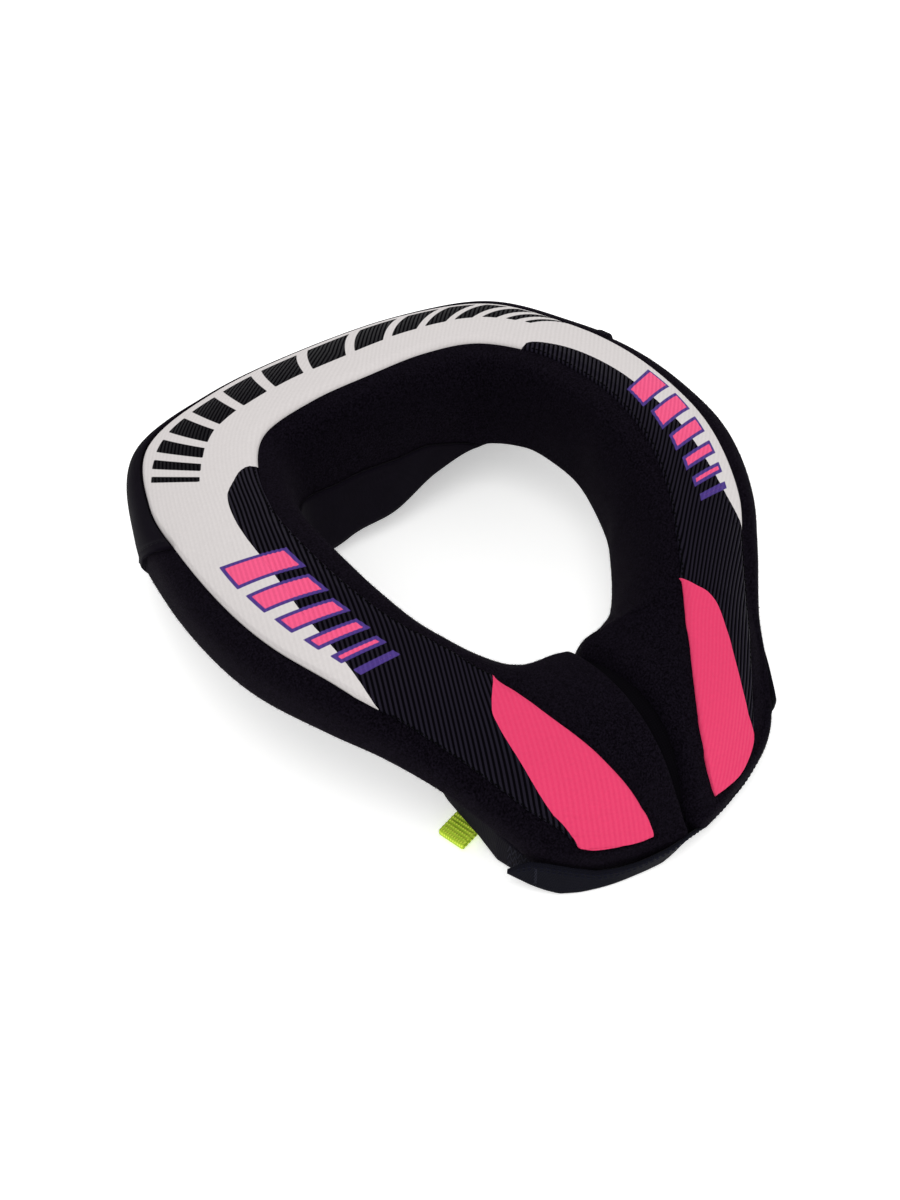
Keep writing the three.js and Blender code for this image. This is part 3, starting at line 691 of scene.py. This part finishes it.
# %% Bar distances
def bar_distance(along, across, bars, slant):
    """Signed distance to the nearest slanted bar, each (along, across, half width, half height)."""
    distances = []
    for middle, level, half_width, half_height in bars:
        sideways = np.abs(along - middle - slant * (across - level)) / math.hypot(1, slant) - half_width
        distances.append(np.maximum(sideways, np.abs(across - level) - half_height))
    return np.min(distances, 0)


REAR_HALF = [(0, 8.6, 16), (23, 7.4, 15.5), (43, 6.2, 15), (60, 5.1, 14.5),
             (74.5, 4.1, 14), (87, 3.2, 13.5), (97.5, 2.3, 13), (106, 1.5, 12.5)]
REAR_BARS = [(side * middle, 35, half, height) for side in (-1, 1) for middle, half, height in REAR_HALF]
REAR_SLANT, SIDE_SLANT = 0.5, -0.5
NO_BAR = 99.0
SIDE_BARS = [(0, 17, 6.2, 12.5), (17, 17.5, 5.2, 11.5), (32, 18, 4.2, 10.5), (45, 18.5, 3.2, 9.5),
             (55.5, 19, 2.3, 8.5), (64, 19.5, 1.5, 7.5)]
SIDE_BARS_FROM = {-1: 5.0, 1: 4.95}


def print_on(station, share):
    """Distances to the rear bars and to the side bars, in mm."""
    width = cloth_width(station)
    along = np.abs(np.interp(station, line, run_along))
    rear = bar_distance(np.interp(station, line, run_along), share * width, REAR_BARS, REAR_SLANT)
    side = np.full(station.shape, NO_BAR)
    for sign, row in SIDE_BARS_FROM.items():
        start = abs(np.interp(sign * row, line, run_along))
        here = bar_distance(along - start, share * width, SIDE_BARS, SIDE_SLANT)
        side = np.where(np.sign(station) == sign, here, side)
    return rear, side


# %% Rib cloth material
def rib_finish(name, ridge, groove_shade, roughness, gloss, inked):
    """Printed rib cloth: painted shade darkens the grooves against the ridges and dims the inks there, a fine
    knit bump, and the bars in their inks.
    """
    material, tree, shader = finish_of(name, {"Roughness": roughness, "Specular Tint": colour("#d2cce4")})
    grain = noise(tree, 900.0, 3.0)
    across = add(tree, "ShaderNodeAttribute", attribute_name="ribs")
    turns = maths(tree, "MULTIPLY", across.outputs["Fac"], 2 * math.pi / RIB_PITCH)
    wave = maths(tree, "COSINE", turns)
    depth = add(tree, "ShaderNodeMapRange", {"From Min": -0.65, "From Max": 0.7}, {"Value": wave},
                interpolation_type="SMOOTHSTEP")
    worn = maths(tree, "MULTIPLY_ADD", grain, 0.14, 0.93)
    # Painted shade: the grooves take a darker colour than the ridges, and the inks are dimmed in them too.
    tone = blend(tree, depth, colour(groove_shade), colour(ridge))
    for attribute, ink, rim in inked:
        distance = add(tree, "ShaderNodeAttribute", attribute_name=attribute)
        inside = add(tree, "ShaderNodeMapRange", {"From Min": -rim + 0.12, "From Max": -rim - 0.12},
                     {"Value": distance.outputs["Fac"]})
        shade = blend(tree, depth, dimmed(ink, 0.9), colour(ink))
        layers = {"Factor": inside, "A": tone, "B": shade}
        tone = add(tree, "ShaderNodeMix", None, layers, data_type="RGBA").outputs["Result"]
    mottled = add(tree, "ShaderNodeVectorMath", None, {0: tone, "Scale": worn}, operation="SCALE")
    shine = maths(tree, "MULTIPLY", depth, gloss)
    tree.links.new(shine.outputs[0], shader.inputs["Specular IOR Level"])
    surface(tree, shader, mottled.outputs[0], grain, strength=0.3, distance=0.0002)
    return material


SIDE_INKS = [("side_bars", "#4c3a82", 0.0), ("side_bars", "#ee5a86", 1.5)]
white_rib = rib_finish("white_rib_cloth", "#d2cdcc", "#cfcac9", 0.75, 0.1,
                       [("rear_bars", "#09080b", 0.0)] + SIDE_INKS)
black_rib = rib_finish("black_rib_cloth", "#1a1721", "#060508", 0.48, 0.06, SIDE_INKS)
pink_rib = rib_finish("pink_rib_cloth", "#dd4069", "#db3e67", 0.7, 0.12, [])

# %% Rib node tree
RIBS, given = new_tree("rib_cloth", Pitch="Float", Height="Float", Cloth="Material")
across = add(RIBS, "GeometryNodeInputNamedAttribute", {"Name": "ribs"}, data_type="FLOAT")
turns = maths(RIBS, "DIVIDE", across.outputs["Attribute"], given["Pitch"])
wave = maths(RIBS, "COSINE", maths(RIBS, "MULTIPLY", turns, 2 * math.pi))
share = add(RIBS, "GeometryNodeInputNamedAttribute", {"Name": "rib_share"}, data_type="FLOAT")
lift = maths(RIBS, "MULTIPLY", wave, given["Height"])
faded = maths(RIBS, "MULTIPLY", lift, share.outputs["Attribute"])
normal = add(RIBS, "GeometryNodeInputNormal")
offset = add(RIBS, "ShaderNodeVectorMath", None, {0: normal, "Scale": faded}, operation="SCALE")
raised = add(RIBS, "GeometryNodeSetPosition", None, {"Geometry": given["Geometry"], "Offset": offset})
end_tree(RIBS, raised, given["Cloth"])

# %% Cover panel helper
# The cloth's heights over the pad in mm: its top, its top at a sewn edge, and its underside.
COVER_TOP, COVER_EDGE, COVER_UNDER = 1.7, 0.1, -0.5
SEAM_TUCK, UNDER_POINTS = 2.5, 10
# The cover is about this wide, which turns a share of its width into mm.
COVER_MM = 40


def both_faces(outer, inner):
    """Rows that run back over the outer face and forth over the inner one."""
    return np.concatenate([outer, inner[:, ::-1]], 1)[:, ::-1]


def cover_panel(name, rows, across, inner, outer, cloth, height):
    """A closed sheet of rib cloth between two edges, tucked down into the seams with the fleece."""
    low, high = inner(rows), outer(rows)
    wide = np.flatnonzero(high - low > 0.002)
    rows = np.linspace(rows[wide[0]], rows[wide[-1]], len(rows))
    low, high = inner(rows), outer(rows)
    station = np.repeat(rows[:, None], across, 1)
    reach = np.linspace(0, 1, across)
    share = low[:, None] + (high - low)[:, None] * reach
    to_seam = np.clip(into_cover(station, 1 + share), 0, None)
    lift = np.sqrt(np.clip(to_seam / SEAM_TUCK, 0, 1))
    top = laid(station, 1 + share, COVER_EDGE + (COVER_TOP - COVER_EDGE) * lift)
    picked = np.linspace(0, across - 1, UNDER_POINTS).astype(int)
    depth = np.full((len(rows), UNDER_POINTS), COVER_UNDER)
    under = laid(station[:, picked], 1 + share[:, picked], depth)
    piece = loft(name, both_faces(top, under), closed=True, caps=(0, len(rows) - 1))
    to_edge = np.minimum(reach, 1 - reach) * (high - low)[:, None] * COVER_MM
    fade = np.clip(np.minimum(to_seam / SEAM_TUCK, 0.25 + to_edge), 0, 1)
    set_numbers(piece, "rib_share", both_faces(fade, 0 * fade[:, picked]))
    rear, side = print_on(station, share)
    kept = {"ribs": ribs_across(station, share), "rear_bars": rear, "side_bars": side}
    for label, values in kept.items():
        set_numbers(piece, label, both_faces(values, values[:, picked]))
    return grown(name, piece, RIBS, Pitch=RIB_PITCH, Height=height / 1000, Cloth=cloth)


# %% Panels
def edge_of(name):
    """One edge as a function of the station alone."""
    return lambda station: edge(name, station)


WHITE_END = 7.8
seam, white_edge = edge_of("outer_seam"), edge_of("white")
pink_inner, pink_outer = edge_of("pink_inner"), edge_of("pink_outer")


def black_outer(station):
    """The black panel ends at the white one, or at the seam in front of it."""
    return np.minimum(white_edge(station) + (np.abs(station) > WHITE_END), seam(station))


def pink_end(station):
    """The pink panel ends at its own edge, or at the seam where that comes first."""
    return np.minimum(pink_outer(station), seam(station))


rear_panel = cover_panel("white_rear_panel", np.linspace(-8, 8, 700), 92, white_edge, seam, white_rib, 0.02)
side_panels, front_panels = [], []
for side, sign in (("right", 1), ("left", -1)):
    rows = np.sort(sign * np.linspace(2.7, 11.5, 480))
    panel = cover_panel(f"black_side_panel_{side}", rows, 92, pink_outer, black_outer, black_rib, 0.17)
    side_panels.append(panel)
    rows = np.sort(sign * np.linspace(9, 12.5, 260))
    panel = cover_panel(f"pink_front_panel_{side}", rows, 84, pink_inner, pink_end, pink_rib, 0.012)
    front_panels.append(panel)

# %% [markdown]
# ## The rear band
# A smooth woven band wraps the rear of the pad from below the rim, under the collar and up the neck wall.
# It is a flat cloth with a turned hem, so its surface is the pad's, held off by the cloth's thickness, and
# a little more at the two ends, where the hem is folded under.

# %% Woven materials
def woven_finish(name, dark, light, along_mm, across_mm, roughness, sheen):
    """Plain-woven cloth or webbing: threads drawn coarse enough to show, as a bump and as painted highlights
    where they cross with painted shade between, and slow changes of tone.
    """
    look = {"Roughness": roughness, "Sheen Weight": sheen, "Sheen Roughness": 0.4,
            "Specular IOR Level": 0.04}
    material, tree, shader = finish_of(name, look)
    waves = []
    for attribute, thread_mm in (("along", along_mm), ("across", across_mm)):
        distance = add(tree, "ShaderNodeAttribute", attribute_name=attribute)
        turns = maths(tree, "MULTIPLY", distance.outputs["Fac"], 2 * math.pi / thread_mm)
        waves.append(maths(tree, "MULTIPLY_ADD", maths(tree, "COSINE", turns), 0.5, 0.5))
    # Painted light: the cloth is lighter where the threads cross and darker between them, on top of their
    # bump.
    pick_relief_and_highlight = maths(tree, "MULTIPLY", *waves)
    share = maths(tree, "MULTIPLY_ADD", noise(tree, 120.0, 4.0), 0.5, pick_relief_and_highlight)
    tone = blend(tree, share, colour(dark), colour(light))
    surface(tree, shader, tone, pick_relief_and_highlight, strength=0.4, distance=0.0003)
    return material


def set_weave(piece, rows):
    """Stores how far along the cloth and across it each vertex of a loft lies, in mm."""
    def run(axis):
        steps = lengths(np.diff(rows, axis=axis))
        return np.concatenate([np.zeros_like(np.take(steps, [0], axis)), np.cumsum(steps, axis)], axis)
    set_numbers(piece, "along", run(0))
    set_numbers(piece, "across", run(1))


def woven_piece(name, rows, cloth):
    """A closed piece of woven cloth from rows of points."""
    piece = loft(name, rows, closed=True, caps=(0, len(rows) - 1))
    set_weave(piece, rows)
    piece.data.materials.append(cloth)
    print(name, len(piece.data.polygons), "faces")
    return piece


# Each weave's light colour is also the painted highlight on its thread crossings.
band_cloth = woven_finish("woven_band_cloth", "#060409", "#100b16", 0.7, 0.7, 0.9, 0.015)
loop_cloth = woven_finish("loop_tape", "#06050a", "#15121b", 0.9, 0.9, 0.85, 0.03)
strap_web = woven_finish("navy_strap_webbing", "#07070d", "#11111b", 0.9, 0.9, 0.8, 0.02)
split_tape_and_shade = woven_finish("split_tape_painted_shade", "#030205", "#08060a", 1.1, 1.1, 0.95, 0.0)
lime_web = woven_finish("lime_webbing", "#84b21c", "#ecff5c", 2.0, 1.1, 0.6, 0.02)

# %% Rear band
BAND_TOP, BAND_INSIDE, BAND_OUTSIDE, HEM = 2.02, 0.35, 1.65, 0.6
reach = np.linspace(0, 1, 260)[:, None]
band_stations = -3.5 + (BAND_RIGHT + 3.5) * reach + np.zeros(70)
# The ends slant with the place and the top edge changes with the row, so a few rounds settle both.
for _ in range(3):
    last = 4 + smooth_curve(CLIMB, band_stations[:, -1:])
    corner = np.minimum(4, last - 0.03)
    parts = [(BAND_TOP, 3, 28, 0), (3, corner, 26, 1), (corner, last, 18, 1)]
    runs = []
    for start, end, count, skip in parts:
        runs.append(start + (end - start) * np.linspace(0, 1, count)[skip:] + 0 * reach)
    band_places = np.concatenate(runs, 1)
    band_stations = band_left(band_places) + (BAND_RIGHT - band_left(band_places)) * reach
from_end = np.minimum(reach, 1 - reach) * 7.3
hem = HEM * (1 - soft_step(from_end, 0.15, 0.18)) * (band_places < 3.2)
inner_face = laid(band_stations, band_places, BAND_INSIDE + 0 * hem)
outer_face = laid(band_stations, band_places, BAND_OUTSIDE + hem)
inner_face[..., 2] = np.maximum(inner_face[..., 2], BAND_OUTSIDE - BAND_INSIDE)
outer_face[..., 2] = np.maximum(outer_face[..., 2], 0)
band = woven_piece("rear_wrap_band", both_faces(outer_face, inner_face), band_cloth)

# %% [markdown]
# ## Strap, loop band and pull tab
# The closure is flat goods: a navy strap round the front, a band of loop tape on the side and a folded tab
# of webbing. Each is a ribbon with a thickness, so each is lofted from its two edges.

# %% Ribbon helper
def ribbon(name, lower, upper, outs, thickness, cloth, across=14):
    """A flat ribbon between two edge lines, its thickness outwards, its two edges rounded."""
    t = np.linspace(0, 1, across)[None, :, None]
    face = lower[:, None] + (upper - lower)[:, None] * t
    height = lengths(upper - lower)[:, None]
    from_edge = np.minimum(t[..., 0], 1 - t[..., 0]) * height
    swell = np.sqrt(np.clip(from_edge / (thickness * 0.8), 0, 1))
    outside = face + outs[:, None] * (thickness * (0.55 + 0.45 * swell))[..., None]
    inside = face + outs[:, None] * (thickness * (0.45 - 0.45 * swell))[..., None]
    return woven_piece(name, np.concatenate([outside, inside[:, ::-1]], 1), cloth)


# %% Closure strap
STRAP_COLUMNS = "row outTop topZ outBottom bottomZ".split()
STRAP_ROWS = np.array([
    [10, 7, 17.5, 3.5, 5], [10.6, 5, 14.5, 1.5, 2.5], [11.2, 3.5, 10.6, -1, 0.6], [12, 1.6, 8.8, -4.5, 0.5],
    [12.7, 1.8, 10.5, -4.5, 0.4], [13.05, 3.3, 14.6, -2, 0.3], [13.4, 4.9, 14, 1.5, 0.3],
    [13.8, 4.9, 10.8, 3.5, 0.3], [14.1, 5, 9.9, 5.2, 0.3], [14.4, 5.5, 10.6, 6.8, 0.3],
    [14.65, 6, 13.2, 8, 0.3], [14.95, 6.9, 16.4, 8.9, 0.6], [15.2, 7.6, 18.2, 9.2, 2.6],
    [15.5, 8.4, 18.4, 9.5, 5], [15.7, 9.1, 15.6, 9.6, 6.8], [15.9, 9.6, 10.8, 9.6, 8.4],
])
strap_at = np.linspace(10, 15.9, 240)
strap = {}
for i, name in enumerate(STRAP_COLUMNS):
    strap[name] = np.interp(strap_at, STRAP_ROWS[:, 0], STRAP_ROWS[:, i])


def beside(station, reach, height):
    """Points at a height, a distance out from the rim."""
    s = section(station)
    return np.stack([s["rimX"] + s["outX"] * reach, s["rimY"] + s["outY"] * reach, height], -1)


def level_out(station):
    """Level unit vectors that point out of the collar."""
    s = section(station)
    return np.stack([s["outX"], s["outY"], 0 * s["outX"]], -1)


strap_low = beside(strap_at, strap["outBottom"], strap["bottomZ"])
strap_top = beside(strap_at, strap["outTop"], strap["topZ"])
closure_strap = ribbon("closure_strap_webbing", strap_low, strap_top, level_out(strap_at), 1.8, strap_web)

# %% Loop band
LOOP_ROWS = np.array([[-50, -152, 10, 1], [-56, -147, 13.5, 1], [-61, -140, 17, 1], [-64.5, -131, 21, 1.5],
                      [-66, -121, 24, 6.3], [-66.5, -111, 26, 6.4], [-67, -100, 29.5, 7],
                      [-67, -88, 32.5, 11]])


def on_loop(y, up):
    """Points on the loop band at each y, at a share of the way up it."""
    x, top, low = (np.interp(y, LOOP_ROWS[:, 1], LOOP_ROWS[:, i]) for i in (0, 2, 3))
    return np.stack([x, y, low + (top - low) * up], -1)


loop_y = np.linspace(-152, -88, 90)
loop_out = np.tile([-1.0, 0, 0], (len(loop_y), 1))
loop_band = ribbon("loop_tape_band", on_loop(loop_y, 0), on_loop(loop_y, 1), loop_out, 1.4, loop_cloth)

# %% Pull tab
TAB_ROOT, TAB_TURN = np.array([-60.5, -109.5, 4.0]), math.radians(197.5)
TAB_LENGTH, TAB_HALF_WIDTH, TAB_THICKNESS = 15.3, 6.25, 1.2
FOLD, RIDGE_HEIGHT, RIDGE_PITCH = 1.1, 0.2, 2.0
fold = np.linspace(0, np.pi, 13)[1:-1]
there = np.linspace(0, TAB_LENGTH, 48)
run = np.concatenate([there, TAB_LENGTH + FOLD * np.sin(fold), there[::-1]])
lift = np.concatenate([np.full(48, -FOLD), -FOLD * np.cos(fold), np.full(48, FOLD)])
path = np.stack([run, lift], -1)
step = np.gradient(path, axis=0)
step /= lengths(step)[:, None]
web_out = np.stack([step[:, 1], -step[:, 0]], -1)
forward = np.array([math.cos(TAB_TURN), math.sin(TAB_TURN), 0])
sideways = np.array([-math.sin(TAB_TURN), math.cos(TAB_TURN), 0])
upright = np.array([0, 0, 1.0])
tab_out = web_out[:, :1] * forward + web_out[:, 1:] * upright
travelled = np.concatenate([[0], np.cumsum(lengths(np.diff(path, axis=0)))])
ridges = RIDGE_HEIGHT * np.cos(2 * np.pi * travelled / RIDGE_PITCH)
tab_line = TAB_ROOT + run[:, None] * forward + lift[:, None] * upright + tab_out * ridges[:, None]
tab_line = tab_line - tab_out * (TAB_THICKNESS / 2)
tab_half = sideways * TAB_HALF_WIDTH
pull_tab = ribbon("pull_tab_webbing", tab_line - tab_half, tab_line + tab_half, tab_out, TAB_THICKNESS,
                  lime_web, 40)

# %% Loop tape on the right
FLAP_FROM, FLAP_ROWS = 9.6, 0.82
flap_at = np.linspace(FLAP_FROM, FLAP_FROM + FLAP_ROWS, 30)
flap_S, flap_P = np.meshgrid(flap_at, np.linspace(2.3, 2.8, 14), indexing="ij")
flap_off = -0.6 + 2.2 * (flap_S - FLAP_FROM) / FLAP_ROWS
flap_rows = both_faces(laid(flap_S, flap_P, flap_off + 1.1), laid(flap_S, flap_P, flap_off - 0.2))
loop_end = woven_piece("loop_tape_end", flap_rows, loop_cloth)

# %% Lining in the split
# The tape in the split is near black: a real tape, and painted shade for the deep split between the lobes.
LINING_DEPTH = 4.2
LINING_SECTION = ((-2.5, -1), (9, -0.6), (9, 0.4), (5, -0.3), (2, -0.4), (-2.5, 0))
lining_at = np.linspace(0.6, 2.15, 60)
seat = outline(np.full(60, 12.999), lining_at) - outward(np.full(60, 12.9), lining_at) * LINING_DEPTH
lining_rows = np.stack([seat * [0, 1, 1] + [x, 0, up] for x, up in LINING_SECTION], 1)
lining = woven_piece("split_lining", lining_rows, split_tape_and_shade)

# %% [markdown]
# ## Stitches
# Every seam is sewn with thread that shows as short dashes. A node tree lays one dash at even steps along a
# line of points on the surface and turns it along the line. The dash is a small squashed ball, a few dozen
# faces.

# %% Thread and stitch tree
def thread_finish(name, code):
    """Twisted sewing thread: a slight gloss, and painted shade in fine diagonal bands along its plies."""
    material, tree, shader = finish_of(name, {"Roughness": 0.7, "Specular IOR Level": 0.05})
    coords = add(tree, "ShaderNodeTexCoord")
    twist_shade = add(tree, "ShaderNodeTexWave", {"Scale": 900.0}, {"Vector": coords.outputs["Object"]},
                bands_direction="DIAGONAL")
    tone = blend(tree, twist_shade.outputs["Fac"], dimmed(code, 0.7), colour(code))
    tree.links.new(tone, shader.inputs["Base Color"])
    return material


STITCHES, given = new_tree("stitch_line", Step="Float", Length="Float", Thickness="Float",
                           Thread="Material")
curve = add(STITCHES, "GeometryNodeMeshToCurve", None, {"Mesh": given["Geometry"]})
spaced = add(STITCHES, "GeometryNodeResampleCurve", None, {"Curve": curve, "Length": given["Step"]},
             mode="LENGTH")
dash = add(STITCHES, "GeometryNodeMeshUVSphere", {"Segments": 8, "Rings": 5, "Radius": 0.5})
size = add(STITCHES, "ShaderNodeCombineXYZ", None,
           {0: given["Length"], 1: given["Thickness"], 2: given["Thickness"]})
tangent = add(STITCHES, "GeometryNodeInputTangent")
turned = add(STITCHES, "FunctionNodeAlignRotationToVector", None, {"Vector": tangent}, axis="X")
sewn = add(STITCHES, "GeometryNodeInstanceOnPoints", None,
           {"Points": spaced, "Instance": dash, "Rotation": turned, "Scale": size})
end_tree(STITCHES, sewn, given["Thread"])


def stitched(name, lines, step, length, thickness, thread):
    """Stitches along some lines of points, all in mm."""
    mesh = bpy.data.meshes.new(name)
    points = [(np.asarray(p) + SHIFT) / 1000 for line in lines for p in line]
    starts = np.cumsum([0] + [len(line) for line in lines])
    pairs = [(i, i + 1) for a, b in zip(starts[:-1], starts[1:]) for i in range(a, b - 1)]
    mesh.from_pydata(points, pairs, [])
    sizes = {"Step": step / 1000, "Length": length / 1000, "Thickness": thickness / 1000}
    return grown(name, placed(name, mesh), STITCHES, Thread=thread, **sizes)


black_thread = thread_finish("black_thread", "#1c1b20")
# The seam thread is near black: the thread itself, and painted shade of the needle holes along the seam.
seam_thread_and_hole_shade = thread_finish("seam_thread_and_painted_hole_shade", "#020203")
navy_thread = thread_finish("navy_thread", "#131424")
grey_thread = thread_finish("grey_thread", "#2a2a34")


# %% Seam lines
def on_cover(rows, share, height):
    """Points of the cover at a share of the way to the rim, held off the pad."""
    return laid(rows, 1 + share, np.full(rows.shape, height))


cover_lines = []
for sign in (1, -1):
    inner = sign * np.linspace(2.95, 8.9, 160)
    cover_lines.append(on_cover(inner, 0 * inner + 0.6 / COVER_MM, 1.0))
    outer = sign * np.linspace(7.95, 11.1, 120)
    cover_lines.append(on_cover(outer, seam(outer) - 0.8 / COVER_MM, 1.2))
cover_stitches = stitched("cover_seam_stitches", cover_lines, 2.1, 1.2, 0.75, seam_thread_and_hole_shade)
down = np.linspace(2.06, 2.9, 60)
hem_rows = (band_left(down) + 0.11, np.full(60, BAND_RIGHT - 0.11))
band_lines = [laid(rows, down, np.full(60, 2.3)) for rows in hem_rows]
band_stitches = stitched("band_hem_stitches", band_lines, 2.8, 1.9, 0.4, black_thread)


STRAP_FACE, TAPE_FACE = 1.85, 1.45


def on_strap(rows, below):
    """Points on the strap's outer face, a distance below its top edge."""
    at = {name: np.interp(rows, strap_at, strap[name]) for name in strap}
    top, low = beside(rows, at["outTop"], at["topZ"]), beside(rows, at["outBottom"], at["bottomZ"])
    down = (low - top) / lengths(low - top)[..., None]
    return top + down * np.asarray(below)[..., None] + level_out(rows) * STRAP_FACE


strap_rows = np.linspace(10.1, 15.7, 200)
strap_lines = [on_strap(strap_rows, np.full(200, below)) for below in (1.6, 3.4)]
strap_stitches = stitched("strap_edge_stitches", strap_lines, 2.4, 1.7, 0.4, navy_thread)
zigzag = [on_strap(15.38 + 0.02 * (-1.0) ** np.arange(17), np.linspace(2.5, 11, 17))]
tape_y = np.linspace(-150.5, -136, 15)
for level in (0.08, 0.36, 0.64):
    zigzag.append(on_loop(tape_y, level + 0.26 * (np.arange(15) % 2)) - [TAPE_FACE, 0, 0])
strap_bartacks = stitched("strap_bartacks", zigzag, 0.8, 1.0, 0.45, grey_thread)

# %% [markdown]
# ## Tie the pieces to the solids
# Each dressed piece rides on the one body and stands for its solid, which is hidden.

# %% Ride, replace and finish
dressed = [(pad, "collar_pad", "fleece"), (rear_panel, "rear_panel", "white_rib"),
           (band, "rear_band", "woven_band"), (closure_strap, "closure_strap", "navy_strap"),
           (loop_band, "loop_band", "loop_cloth"), (pull_tab, "pull_tab", "lime_webbing")]
for i, side in enumerate(("right", "left")):
    dressed += [(side_panels[i], f"side_panel_{side}", "black_rib"),
                (front_panels[i], f"front_panel_{side}", "pink_rib")]
for piece, node, slot in dressed:
    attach(piece, "root")
    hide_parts(node)
added = [(cover_stitches, "black_rib"), (band_stitches, "woven_band"), (strap_stitches, "navy_strap"),
         (strap_bartacks, "navy_strap"), (loop_end, "loop_cloth"), (lining, "loop_cloth"),
         (fibres, "fleece")]
for piece, slot in added:
    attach(piece, "root")
